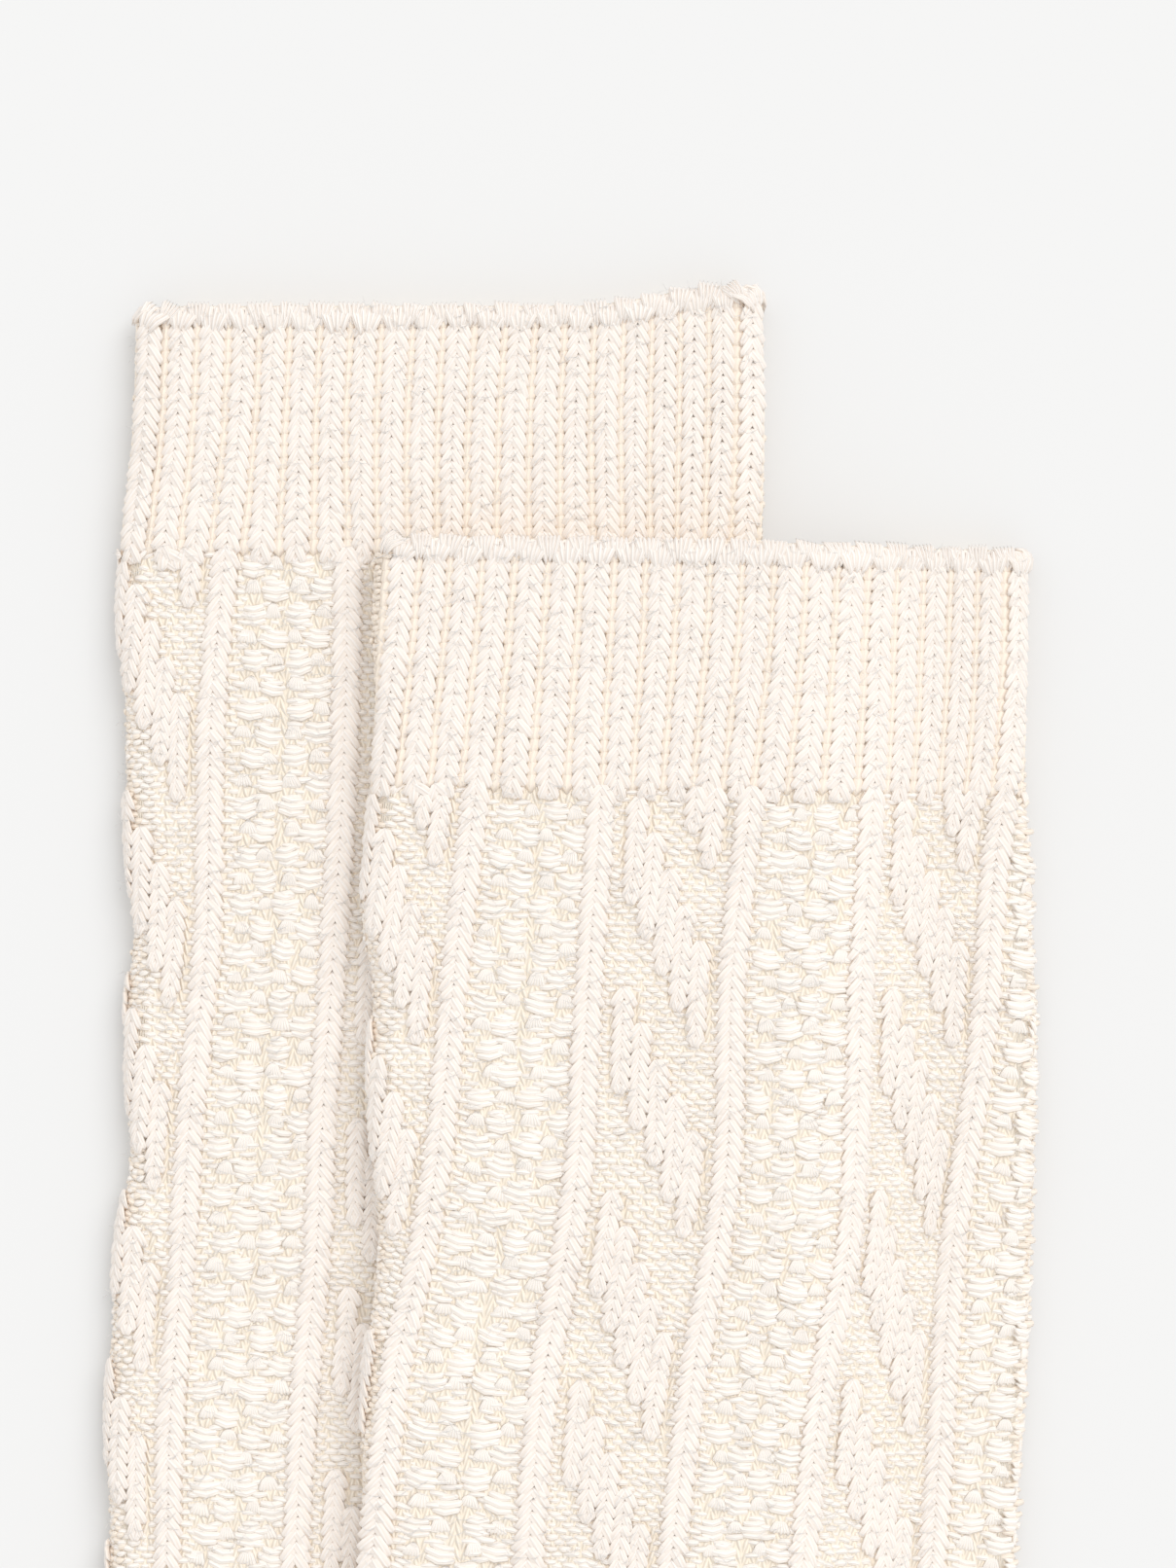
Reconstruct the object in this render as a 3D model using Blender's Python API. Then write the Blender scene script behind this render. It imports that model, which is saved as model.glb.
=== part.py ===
"""A pair of cable knit socks, flattened and laid flat, the second partly on the first.

Each sock is one hollow wall knitted as a tube: a ribbed cuff with a turned lip, a leg with long
single ribs and stepped cable bands, a turned heel, a plain foot and a closed toe. The upper face
carries the relief in the wall's outer points. The underside is flat where it rests. Sizes are in
millimetres and become metres when the mesh is made. X runs across the leg, Y up towards the cuff.
"""

import math
from typing import NamedTuple

import bpy
import numpy as np

MM = 0.001
NEEDLES = 84
COURSE = 1.65
WALL = 1.8
LEG_THICK = 5.6
TOE_THICK = 3.6
CROWN = 0.5
RIM_ROUND = 0.9
EDGE_SHARE = 0.9

LIP_DEEP = 2.6
CUFF_DEEP = 34.0
LEG_END = 172.0
CUFF_ROWS = (RIM_ROUND, LIP_DEEP - 0.1, LIP_DEEP + 0.6, CUFF_DEEP / 2.0, CUFF_DEEP - 0.8)
FIRST_LEG_ROW = CUFF_DEEP + 0.6
INNER_ROWS = (0.0, 6.0, 20.0, 40.0, 60.0, 80.0, 94.0, 108.0, 122.0, 136.0, 150.0, 166.0)
RIB_HIGH = 1.0
LONG_RIB_HIGH = 0.9
CABLE_HIGH = 1.0
SEED_HIGH = 0.3
SHOULDER = 0.75

CUFF_PITCH = 2.13
CABLE_PITCH = 1.85
SEED_PITCH = 2.75
SPARE_NEEDLES = 14.0

LONG_RIBS = (6, 13, 23, 30, 40)
CABLE_STARTS = (-3, 14, 31)
SEED_STARTS = (7, 24, 41)
CABLE_WIDE = 9
SEED_WIDE = 6
FIRST_COLUMN = 2
COLUMNS = 5
BAND_REPEAT = 16
COLUMN_STEP = 3
COLUMN_LONG = 8
COLUMN_SOFT = 2.5
ROWS_A_BAND = 5
LEG_ROW = BAND_REPEAT * COURSE / ROWS_A_BAND

FOOT_LINES = 15
TOE_LINES = 7
TOE_ROWS = 3
FOOT_STEPS = 2
UNDER_LINES = 7
INNER_LINES = 7
INNER_GAP = 0.8
FOLD_POINTS = ((-90.0, 2.0), (-40.0, 1.5), (0.0, 1.0), (45.0, 0.5))

SHIFT_X = 32.5
SHIFT_Y = -31.7
LAY_ON_LEG = 7.65
LAY_ON_FOOT = 6.5
LAY_BLEND = 20.0
DRAPE_LEDGE = 2.0
DRAPE_REACH = 25.0

CORNER_FROM = 60.0
CORNER_WIDE = 22.0

CREAM = (0.93, 0.86, 0.76, 1.0)
ROUGHNESS = 0.92


class LegRow(NamedTuple):
    """One knitted row of the leg: how far down it is, its two edges and its five long ribs."""

    down: float
    left: float
    rib_a: float
    rib_b: float
    rib_c: float
    rib_d: float
    rib_e: float
    right: float


class FootRow(NamedTuple):
    """One row round the heel, foot or toe: its end on the instep, and on the heel or sole."""

    instep_x: float
    instep_y: float
    sole_x: float
    sole_y: float
    thick: float


class SoftFold(NamedTuple):
    """A soft trough in the upper face: its middle, its turn in degrees and its size."""

    x: float
    y: float
    turn: float
    half_long: float
    half_wide: float
    deep: float


class Sock(NamedTuple):
    """What differs between the two socks."""

    name: str
    corner: tuple[float, float]
    leg: tuple[LegRow, ...]
    folds: tuple[SoftFold, ...]
    right_drop: float
    corner_lift: float
    drapes: bool


UNDER_LEG = (
    LegRow(0.0, 0.4, 15.3, 29.8, 50.9, 65.0, 84.2, 85.2),
    LegRow(16.8, 0.0, 14.5, 29.0, 49.8, 64.4, 84.2, 85.8),
    LegRow(33.7, -1.7, 12.7, 29.3, 49.4, 64.9, 83.2, 85.8),
    LegRow(43.2, -2.0, 11.7, 29.2, 49.1, 65.6, 82.4, 86.0),
    LegRow(54.3, -1.2, 10.8, 29.0, 48.8, 65.8, 81.6, 86.4),
    LegRow(75.4, -0.8, 10.4, 28.1, 47.9, 64.9, 80.3, 86.6),
    LegRow(84.9, 0.0, 10.2, 27.5, 47.3, 64.3, 79.6, 86.4),
    LegRow(95.0, -0.9, 9.3, 26.9, 46.5, 63.5, 78.8, 86.0),
    LegRow(108.5, -0.7, 8.0, 26.0, 45.6, 62.6, 77.9, 85.7),
    LegRow(117.0, -0.5, 7.4, 25.6, 45.2, 62.2, 77.5, 85.5),
    LegRow(125.4, -2.0, 7.0, 25.3, 44.9, 61.9, 77.2, 85.3),
    LegRow(142.0, -3.2, 5.8, 23.9, 43.5, 60.5, 75.8, 84.8),
    LegRow(154.2, -3.6, 5.0, 23.0, 42.6, 59.6, 74.9, 84.3),
    LegRow(166.3, -3.2, 4.8, 22.4, 42.0, 59.0, 74.3, 84.2),
    LegRow(174.0, -3.6, 4.5, 22.0, 41.6, 58.6, 74.0, 84.8),
)

OVER_LEG = (
    LegRow(0.0, 0.9, 17.6, 33.1, 54.6, 69.7, 88.1, 89.0),
    LegRow(12.8, 0.4, 16.6, 32.5, 54.0, 69.0, 88.0, 89.0),
    LegRow(24.7, 0.9, 15.4, 31.8, 52.7, 68.6, 87.3, 89.0),
    LegRow(34.6, 0.4, 14.4, 31.3, 51.5, 68.0, 86.2, 89.2),
    LegRow(43.4, -0.4, 13.3, 30.8, 50.4, 67.5, 84.9, 89.8),
    LegRow(51.9, -0.9, 12.3, 30.1, 49.5, 66.9, 84.3, 90.0),
    LegRow(60.3, 0.5, 11.4, 29.6, 48.8, 66.4, 83.8, 90.3),
    LegRow(70.4, 0.1, 10.6, 29.0, 48.6, 66.1, 82.8, 90.6),
    LegRow(82.6, 0.5, 9.4, 28.4, 48.3, 65.6, 81.0, 90.3),
    LegRow(94.4, 1.2, 7.5, 26.9, 46.9, 64.8, 79.3, 89.9),
    LegRow(111.8, -0.4, 3.7, 23.8, 43.8, 61.4, 78.0, 89.2),
    LegRow(121.6, -0.8, 2.4, 22.7, 42.5, 60.1, 77.5, 88.6),
    LegRow(133.2, -0.9, 1.1, 21.8, 41.2, 58.9, 76.7, 88.0),
    LegRow(155.0, -2.2, -1.0, 19.6, 39.0, 56.6, 75.0, 86.6),
    LegRow(174.0, -3.6, -2.6, 18.0, 37.4, 55.0, 73.4, 85.2),
)

FOOT = (
    FootRow(-3.6, -174.0, 85.0, -174.0, 5.6),
    FootRow(-5.5, -179.0, 88.0, -198.0, 5.6),
    FootRow(-9.5, -182.5, 89.0, -219.0, 5.6),
    FootRow(-15.0, -185.0, 84.0, -240.0, 5.6),
    FootRow(-22.0, -186.5, 73.0, -256.0, 5.5),
    FootRow(-31.0, -187.5, 56.0, -266.0, 5.4),
    FootRow(-43.0, -188.5, 34.0, -270.0, 5.3),
    FootRow(-58.0, -190.0, 6.0, -271.0, 5.2),
    FootRow(-75.0, -192.0, -25.0, -271.5, 5.2),
    FootRow(-92.0, -195.0, -56.0, -272.0, 5.2),
    FootRow(-108.0, -200.0, -86.0, -272.0, 5.2),
    FootRow(-122.0, -207.0, -110.0, -269.0, 5.1),
    FootRow(-133.0, -217.0, -128.0, -261.0, 5.0),
    FootRow(-140.0, -227.0, -139.0, -250.5, 4.6),
    FootRow(-143.5, -235.0, -143.5, -242.5, TOE_THICK),
)

UNDER_FOLDS = (
    SoftFold(12.0, -137.0, -8.0, 34.0, 9.0, 0.9),
    SoftFold(52.0, -58.0, 12.0, 24.0, 8.0, 0.5),
    SoftFold(30.0, -205.0, -38.0, 34.0, 7.0, 0.9),
    SoftFold(-62.0, -232.0, 72.0, 30.0, 8.0, 0.6),
)

OVER_FOLDS = (
    SoftFold(24.0, -107.0, -6.0, 34.0, 9.0, 0.9),
    SoftFold(66.0, -128.0, 10.0, 22.0, 8.0, 0.5),
    SoftFold(34.0, -204.0, -34.0, 36.0, 7.0, 0.9),
    SoftFold(-58.0, -234.0, 66.0, 28.0, 8.0, 0.6),
)

SOCKS = (
    Sock("sock_under", (0.0, 0.0), UNDER_LEG, UNDER_FOLDS, 0.0, 2.8, False),
    Sock("sock_over", (SHIFT_X, SHIFT_Y), OVER_LEG, OVER_FOLDS, 1.6, 0.0, True),
)


def smoothstep(value):
    """A soft step from 0 to 1 as the value goes from 0 to 1."""
    held = np.clip(value, 0.0, 1.0)
    return held * held * (3.0 - 2.0 * held)


def curve_through(stations, values, at):
    """Reads a smooth curve through the values at the stations, with slopes of its neighbours."""
    stations = np.asarray(stations, float)
    values = np.asarray(values, float)
    slopes = np.gradient(values, stations)
    i = int(np.clip(np.searchsorted(stations, at) - 1, 0, len(stations) - 2))
    span = stations[i + 1] - stations[i]
    t = (at - stations[i]) / span
    low = (1.0 + 2.0 * t) * (1.0 - t) ** 2 * values[i] + t * (1.0 - t) ** 2 * span * slopes[i]
    high = t * t * (3.0 - 2.0 * t) * values[i + 1] - t * t * (1.0 - t) * span * slopes[i + 1]
    return float(low + high)


def leg_row(sock, down):
    """The leg's row at this distance below the cuff's top edge."""
    downs = [row.down for row in sock.leg]
    read = [
        curve_through(downs, [row[column] for row in sock.leg], down)
        for column in range(1, len(LegRow._fields))
    ]
    return LegRow(down, *read)


def foot_row(step):
    """The foot's row at this place in the table, counted in rows."""
    places = range(len(FOOT))
    return FootRow(
        *(
            curve_through(places, [row[column] for row in FOOT], step)
            for column in range(len(FootRow._fields))
        )
    )


def needle_places(row):
    """Needles and where they lie across this row, from past the left edge to past the right."""
    in_leg = float(smoothstep((row.down - CUFF_DEEP) / COURSE))
    left_pitch = CUFF_PITCH + (CABLE_PITCH - CUFF_PITCH) * in_leg
    right_pitch = CUFF_PITCH + (SEED_PITCH - CUFF_PITCH) * in_leg
    needles = [LONG_RIBS[0] - SPARE_NEEDLES, *LONG_RIBS, LONG_RIBS[-1] + SPARE_NEEDLES]
    ribs = [row.rib_a, row.rib_b, row.rib_c, row.rib_d, row.rib_e]
    before = row.rib_a - SPARE_NEEDLES * left_pitch
    after = row.rib_e + SPARE_NEEDLES * right_pitch
    return needles, [before, *ribs, after]


def cuff_relief(needle, down):
    """How far the cuff stands out: a flush lip, then a rib on every second needle."""
    if down < LIP_DEEP:
        return SHOULDER * RIB_HIGH
    from_rib = abs((needle + 1.0) % 2.0 - 1.0)
    return RIB_HIGH * max(0.0, 1.0 - from_rib**2)


def column_relief(needle, course):
    """How far a cable column on this needle stands out at this course, from 0 to 1."""
    high = 0.0
    for start in CABLE_STARTS:
        place = needle - start - FIRST_COLUMN
        if not 0 <= place < COLUMNS:
            continue
        half = BAND_REPEAT / 2.0
        middle = 1.0 + COLUMN_STEP * place + COLUMN_LONG / 2.0
        from_middle = abs((course - middle + half) % BAND_REPEAT - half)
        into = (COLUMN_LONG / 2.0 + COLUMN_SOFT - from_middle) / (2.0 * COLUMN_SOFT)
        high = max(high, float(smoothstep(into)))
    return high


def leg_relief(needle, down):
    """How far the leg stands out: long ribs, cable columns, and seed panels a little."""
    course = (down - CUFF_DEEP) / COURSE
    fade = float(smoothstep((LEG_END - down) / LEG_ROW))
    from_rib = min(abs(needle - rib) for rib in LONG_RIBS)
    if from_rib < 1.0:
        return fade * LONG_RIB_HIGH * (1.0 - from_rib**2)
    if any(start <= needle < start + SEED_WIDE for start in SEED_STARTS):
        return fade * SEED_HIGH
    return fade * CABLE_HIGH * column_relief(needle, course)


def cuff_lines():
    """Half needles all across the upper face and a little past it, for the cuff's ribs."""
    return [half / 2.0 for half in range(-12, NEEDLES + 12)]


def leg_lines():
    """Half needles at the ribs, each needle of the cable panels, and few in the seed panels."""
    lines = set()
    for rib in LONG_RIBS:
        lines.update(rib + step / 2.0 for step in range(-2, 3))
    for start in CABLE_STARTS:
        lines.update(float(start + place) for place in range(CABLE_WIDE))
    for start in SEED_STARTS:
        middle = (SEED_WIDE - 1) / 2.0
        lines.update((start + middle, start + 2.0 * middle))
    return sorted(lines)


class Ring(NamedTuple):
    """One closed row of points round the sock, the needle that each lies at, and its two folds."""

    points: list[tuple[float, float, float]]
    needles: list[float]
    first: float
    last: float


def side_height(along, wide, thick):
    """Height of the upper face where the section's round sides lower it."""
    radius = thick / 2.0
    from_edge = min(along, wide - along)
    if from_edge >= radius:
        return thick
    return radius + math.sqrt(max(0.0, radius**2 - (radius - from_edge) ** 2))


def ring_between(front, back, low, thick, tops, under_lines, first, last):
    """A flattened ring from the front edge to the back edge.

    tops holds (place across, needle, relief) for each point of the upper face, and first and last
    are the needles at the two folded sides.
    """
    front = np.array(front, float)
    back = np.array(back, float)
    wide = float(np.linalg.norm(back - front))
    across = (back - front) / wide
    radius = thick / 2.0
    points = []
    needles = []

    def add(along, height, needle):
        place = front + across * along
        points.append((float(place[0]), float(place[1]), low + height))
        needles.append(needle)

    for turn, step in FOLD_POINTS:
        angle = math.radians(turn)
        add(radius * (1.0 - math.cos(angle)), radius * (1.0 + math.sin(angle)), first - step)
    for along, needle, relief in tops:
        crown = CROWN * (1.0 - (2.0 * along / wide - 1.0) ** 2) * min(1.0, thick / LEG_THICK)
        add(along, side_height(along, wide, thick) + crown + relief, needle)
    for turn, step in FOLD_POINTS[::-1]:
        angle = math.radians(turn)
        add(wide - radius * (1.0 - math.cos(angle)), radius * (1.0 + math.sin(angle)), last + step)
    past_fold = FOLD_POINTS[0][1]
    gap = first + NEEDLES - last - 2.0 * past_fold
    for line in range(1, under_lines + 1):
        share = line / (under_lines + 1)
        add(wide - radius - share * (wide - 2.0 * radius), 0.0, last + past_fold + share * gap)
    return Ring(points, needles, first, last)


def row_edges(sock, row):
    """The two edge points of a leg row, which drops to the right near the cuff."""
    drop = sock.right_drop * (1.0 - row.down / LEG_END)
    return (row.left, -row.down), (row.right, -row.down - drop)


def leg_ring(sock, down, lines, relief, lowered=0.0):
    """The outer ring of the cuff or leg at this distance down."""
    row = leg_row(sock, down)
    front, back = row_edges(sock, row)
    wide = math.dist(front, back)
    needles, places = needle_places(row)
    thick = LEG_THICK - lowered
    inset = EDGE_SHARE * thick / 2.0
    first = float(np.interp(row.left + inset, places, needles))
    last = float(np.interp(row.right - inset, places, needles))
    tops = []
    for needle in lines:
        if first <= needle <= last:
            across = float(np.interp(needle, needles, places)) - row.left
            tops.append((across * wide / (row.right - row.left), needle, relief(needle, down)))
    return ring_between(front, back, 0.0, thick, tops, UNDER_LINES, first, last)


def plain_tops(front, back, thick, count, first, last):
    """Evenly spread points for a plain upper face."""
    wide = math.dist(front, back)
    inset = EDGE_SHARE * thick / 2.0
    tops = []
    for i in range(count):
        share = (i + 0.5) / count
        tops.append((inset + (wide - 2.0 * inset) * share, first + (last - first) * share, 0.0))
    return tops


def plain_ring(front, back, low, thick, count, under_lines, first, last):
    """A ring with a plain upper face."""
    tops = plain_tops(front, back, thick, count, first, last)
    return ring_between(front, back, low, thick, tops, under_lines, first, last)


def inner_ring(front, back, thick, first, last):
    """The plain inside of the wall at this row."""
    front = np.array(front, float)
    back = np.array(back, float)
    across = (back - front) / np.linalg.norm(back - front)
    near = tuple(front + across * WALL)
    far = tuple(back - across * WALL)
    gap = thick - 2.0 * WALL
    return plain_ring(near, far, WALL, gap, INNER_LINES, INNER_LINES - 2, first, last)


def outer_rings(sock):
    """Every outer ring from the lip to the toe."""
    cuff = cuff_lines()
    leg = leg_lines()
    rings = [leg_ring(sock, 0.0, cuff, cuff_relief, lowered=RIM_ROUND)]
    for down in CUFF_ROWS:
        rings.append(leg_ring(sock, down, cuff, cuff_relief))
    count = int((LEG_END - CUFF_DEEP) // LEG_ROW)
    for i in range(count + 1):
        rings.append(leg_ring(sock, FIRST_LEG_ROW + i * LEG_ROW, leg, leg_relief))
    first = rings[-1].first
    last = rings[-1].last
    for i in range((len(FOOT) - 1) * FOOT_STEPS + 1):
        row = foot_row(i / FOOT_STEPS)
        front = (row.instep_x, row.instep_y)
        back = (row.sole_x, row.sole_y)
        lines = FOOT_LINES if i < (len(FOOT) - TOE_ROWS) * FOOT_STEPS else TOE_LINES
        rings.append(plain_ring(front, back, 0.0, row.thick, lines, UNDER_LINES, first, last))
    return rings


def inner_rings(sock):
    """Every inner ring from the lip to just short of the toe's tip."""
    rings = []
    first = 1.0
    last = NEEDLES / 2.0
    for down in INNER_ROWS:
        front, back = row_edges(sock, leg_row(sock, down))
        rings.append(inner_ring(front, back, LEG_THICK, first, last))
    for step in range(1, len(FOOT) - 1):
        row = FOOT[step]
        front = (row.instep_x, row.instep_y)
        back = (row.sole_x, row.sole_y)
        thick = max(row.thick, 2.0 * WALL + INNER_GAP)
        rings.append(inner_ring(front, back, thick, first, last))
    return rings


def zipped(lower, upper, base_lower, base_upper):
    """Triangles between two closed rings, walking both in the order of their needles."""
    count_lower = len(lower.needles)
    count_upper = len(upper.needles)
    lower_needles = lower.needles + [lower.needles[0] + NEEDLES]
    upper_needles = upper.needles + [upper.needles[0] + NEEDLES]
    faces = []
    i = 0
    j = 0
    while i < count_lower or j < count_upper:
        here = base_lower + i % count_lower
        there = base_upper + j % count_upper
        step_lower = j == count_upper or (
            i < count_lower and lower_needles[i + 1] < upper_needles[j + 1]
        )
        if step_lower:
            i += 1
            faces.append((here, there, base_lower + i % count_lower))
        else:
            j += 1
            faces.append((here, there, base_upper + j % count_upper))
    return faces


def tube(rings, points, faces):
    """Adds a run of rings and the faces between them, and returns each ring's first point."""
    bases = []
    for ring in rings:
        bases.append(len(points))
        points.extend(ring.points)
    for i in range(len(rings) - 1):
        faces.extend(zipped(rings[i], rings[i + 1], bases[i], bases[i + 1]))
    return bases


def cap(ring, base, points, faces):
    """Closes a ring with a fan to its middle point."""
    middle = len(points)
    points.append(tuple(np.mean(np.array(ring.points), axis=0)))
    count = len(ring.points)
    for i in range(count):
        faces.append((base + i, middle, base + (i + 1) % count))


def outline_of(sock):
    """The sock's outline as a closed run of points, down the front edge and up the back edge."""
    fronts = []
    backs = []
    for down in np.linspace(0.0, LEG_END, 30):
        front, back = row_edges(sock, leg_row(sock, float(down)))
        fronts.append(front)
        backs.append(back)
    for i in range((len(FOOT) - 1) * FOOT_STEPS + 1):
        row = foot_row(i / FOOT_STEPS)
        fronts.append((row.instep_x, row.instep_y))
        backs.append((row.sole_x, row.sole_y))
    return np.array(fronts + backs[::-1]) + np.array(sock.corner)


def distance_outside(places, outline):
    """How far each place lies outside a closed outline, and 0 within it."""
    starts = outline
    ends = np.roll(outline, -1, axis=0)
    runs = ends - starts
    nearest = np.full(len(places), np.inf)
    crossings = np.zeros(len(places), int)
    for start, end, run in zip(starts, ends, runs):
        share = np.clip((places - start) @ run / max(float(run @ run), 1e-12), 0.0, 1.0)
        reach = np.linalg.norm(places - (start + share[:, None] * run), axis=1)
        nearest = np.minimum(nearest, reach)
        spans = (start[1] > places[:, 1]) != (end[1] > places[:, 1])
        rise = run[1] if run[1] != 0.0 else 1e-12
        meets = start[0] + (places[:, 1] - start[1]) * run[0] / rise
        crossings += spans & (places[:, 0] < meets)
    return np.where(crossings % 2 == 1, 0.0, nearest)


def trough_depth(places, folds):
    """How deep the soft folds are at each place of the upper face."""
    depth = np.zeros(len(places))
    for fold in folds:
        turn = math.radians(fold.turn)
        along = np.array((math.cos(turn), math.sin(turn)))
        aside = np.array((-math.sin(turn), math.cos(turn)))
        from_middle = places - np.array((fold.x, fold.y))
        reach = (from_middle @ along / fold.half_long) ** 2
        reach = reach + (from_middle @ aside / fold.half_wide) ** 2
        depth = depth + fold.deep * np.exp(-1.5 * reach)
    return depth


def lay_height(places, outline):
    """Height of what the draped sock rests on: the first sock, its edge, and then the floor."""
    outside = distance_outside(places, outline)
    to_foot = smoothstep((-places[:, 1] - LEG_END) / LAY_BLEND)
    top = LAY_ON_LEG + (LAY_ON_FOOT - LAY_ON_LEG) * to_foot
    fall = smoothstep((outside - DRAPE_LEDGE) / (DRAPE_REACH - DRAPE_LEDGE))
    return top * (1.0 - fall)


def corner_rise(places, lift):
    """How far the cuff's right corner is pulled up past the rest of its edge."""
    to_right = smoothstep((places[:, 0] - CORNER_FROM) / CORNER_WIDE)
    to_top = smoothstep(1.0 + places[:, 1] / CUFF_DEEP)
    return lift * to_right * to_top


def sock_mesh(sock, outline_below):
    """Points and faces of one sock, in millimetres."""
    points = []
    faces = []
    outer = outer_rings(sock)
    inner = inner_rings(sock)
    outer_bases = tube(outer, points, faces)
    cap(outer[-1], outer_bases[-1], points, faces)
    inside = []
    inner_bases = tube(inner, points, inside)
    cap(inner[-1], inner_bases[-1], points, inside)
    inside.extend(zipped(outer[0], inner[0], outer_bases[0], inner_bases[0]))
    faces.extend(face[::-1] for face in inside)
    placed = np.array(points)
    high = placed[:, 2] / LEG_THICK
    placed[:, 2] -= np.clip(high, 0.0, 1.0) * trough_depth(placed[:, :2], sock.folds)
    placed[:, 1] += corner_rise(placed[:, :2], sock.corner_lift)
    placed[:, :2] += np.array(sock.corner)
    if sock.drapes:
        placed[:, 2] += lay_height(placed[:, :2], outline_below)
    return placed, faces


def yarn_material(name):
    """Cream yarn."""
    material = bpy.data.materials.new(name)
    material.use_nodes = True
    material.diffuse_color = CREAM
    shader = material.node_tree.nodes["Principled BSDF"]
    shader.inputs["Base Color"].default_value = CREAM
    shader.inputs["Roughness"].default_value = ROUGHNESS
    shader.inputs["Metallic"].default_value = 0.0
    return material


def build():
    """Makes both socks, centred over the origin and resting on the floor."""
    for old in list(bpy.data.objects):
        bpy.data.objects.remove(old, do_unlink=True)
    collection = bpy.data.collections.new("cable_knit_socks")
    bpy.context.scene.collection.children.link(collection)
    outline = outline_of(SOCKS[0])
    meshes = [sock_mesh(sock, outline) for sock in SOCKS]
    everything = np.concatenate([points for points, _ in meshes])
    middle = (everything.min(axis=0) + everything.max(axis=0)) / 2.0
    offset = np.array((middle[0], middle[1], everything[:, 2].min()))
    for sock, (points, faces) in zip(SOCKS, meshes):
        mesh = bpy.data.meshes.new(sock.name)
        mesh.from_pydata(((points - offset) * MM).tolist(), [], faces)
        mesh.update()
        mesh.materials.append(yarn_material(sock.name + "_yarn"))
        made = bpy.data.objects.new(sock.name, mesh)
        collection.objects.link(made)


build()
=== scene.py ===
"""A pair of cable knit socks, laid flat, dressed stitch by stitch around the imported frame.

Each sock is a thin closed shell on the form of its solid, with the knit laid on it: ribbed cuff,
long single ribs, stepped cable columns over a purl ground, double moss panels, and a plain foot.
A stitch is a small mesh of yarn strands. Geometry Nodes set one on every place of the knit and make
the result real. Lengths are in millimetres until a mesh is made. X runs across the leg, Y up
towards the cuff, and a needle is one wale of the tube, counted from the front fold.
"""

from __future__ import annotations

import logging
import math
from dataclasses import dataclass, field, replace
from enum import Enum
from typing import NamedTuple

import bpy
import numpy as np
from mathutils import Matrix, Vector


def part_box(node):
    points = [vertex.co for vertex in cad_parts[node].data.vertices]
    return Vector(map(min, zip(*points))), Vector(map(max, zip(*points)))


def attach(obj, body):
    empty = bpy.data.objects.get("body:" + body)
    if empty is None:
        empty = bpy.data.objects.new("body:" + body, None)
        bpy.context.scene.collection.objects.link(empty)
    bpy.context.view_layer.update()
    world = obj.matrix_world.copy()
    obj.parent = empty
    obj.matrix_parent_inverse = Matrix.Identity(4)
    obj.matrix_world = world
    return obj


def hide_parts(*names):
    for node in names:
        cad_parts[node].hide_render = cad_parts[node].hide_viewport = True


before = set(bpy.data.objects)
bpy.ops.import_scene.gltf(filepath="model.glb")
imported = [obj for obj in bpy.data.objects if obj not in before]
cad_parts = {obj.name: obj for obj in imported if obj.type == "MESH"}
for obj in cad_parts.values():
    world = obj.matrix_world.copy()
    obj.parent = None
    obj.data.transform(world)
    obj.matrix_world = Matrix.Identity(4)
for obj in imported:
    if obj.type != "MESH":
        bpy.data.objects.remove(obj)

Array = np.ndarray
log = logging.getLogger("cable_knit_socks")

Colour = tuple[float, float, float]
Spot = tuple[float, ...]

MM = 0.001
BODY = "root"

# The knit and the wall
NEEDLES = 84
COURSE = 1.65
CUFF_COURSE = 1.6
WALL = 1.8
SHELL_DEEP = 0.15
LEG_THICK = 5.6
TOE_THICK = 3.6
CROWN = 0.5
CUFF_DEEP = 34.0
LEG_END = 172.0
CUFF_PITCH = 2.13
CABLE_PITCH = 1.85
SEED_PITCH = 2.75
SPARE_NEEDLES = 14.0

# The needles that the pattern's columns stand on, and how the columns repeat
LONG_RIBS = (6, 13, 23, 30, 40)
PANEL_RIBS = ((-4, 6), (13, 23), (30, 40))
MOSS_RIBS = ((6, 13), (23, 30), (40, 47))
LEG_FROM = 36.0
COLUMNS = 5
FIRST_COLUMN = 2.5
COLUMN_APART = 1.27
COLUMN_STEP = 3
COLUMN_LONG = 8
COLUMN_CLEAR = 0.62
MOSS_WALES = 4
FIRST_MOSS = 1.82
MOSS_APART = 1.26
MOSS_REPEAT = 4
MOSS_GAP = 0.9
MOSS_PURLS = 4
FUZZ_HAIRS = 5
FUZZ_SEED = 7
# Painted shade: a warmer, darker copy of the yarn for the cuff's grooves and the folded sides, which lie
# in shade
PAINTED_SHADE_YARN = {"crest": (0.99, 0.82, 0.62), "painted_shade": (0.985, 0.73, 0.46)}
# Painted light: a paler copy of the yarn, with lighter painted shade on the strands' sides and between
# the plies, for the purl and moss of the leg
PAINTED_LIGHT_YARN = {"crest": (0.99, 0.925, 0.86), "painted_shade": (0.985, 0.82, 0.64), "shade_and_fibre_tone": (0.92, 0.79, 0.65)}
FIBRE = (0.99, 0.94, 0.89)

# How the over sock lies on the under sock, and the corners of the cuff
SHIFT_X = 32.5
SHIFT_Y = -31.7
LAY_ON_LEG = 7.65
LAY_ON_FOOT = 6.5
LAY_BLEND = 20.0
DRAPE_LEDGE = 2.0
DRAPE_REACH = 25.0
CORNER_FROM = 60.0
CORNER_WIDE = 22.0
CORNER_ROUND = 3.0
CORNER_REACH = 7.0

# Places in the foot's table
TOE_FROM = 10.5
GORE = 3.5
HEEL_TURNED = 7.0

# How far to each side a face is read for its directions
NEEDLE_STEP = 0.4
SHARE_STEP = 0.004
ROW_STEP = 0.02

# The sockets of a colour mix, and where the top of a strand lies in its UV
MIX_NEAR = 6
MIX_FAR = 7
MIX_RESULT = 2
TOP_OF_STRAND = 0.25

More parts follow.
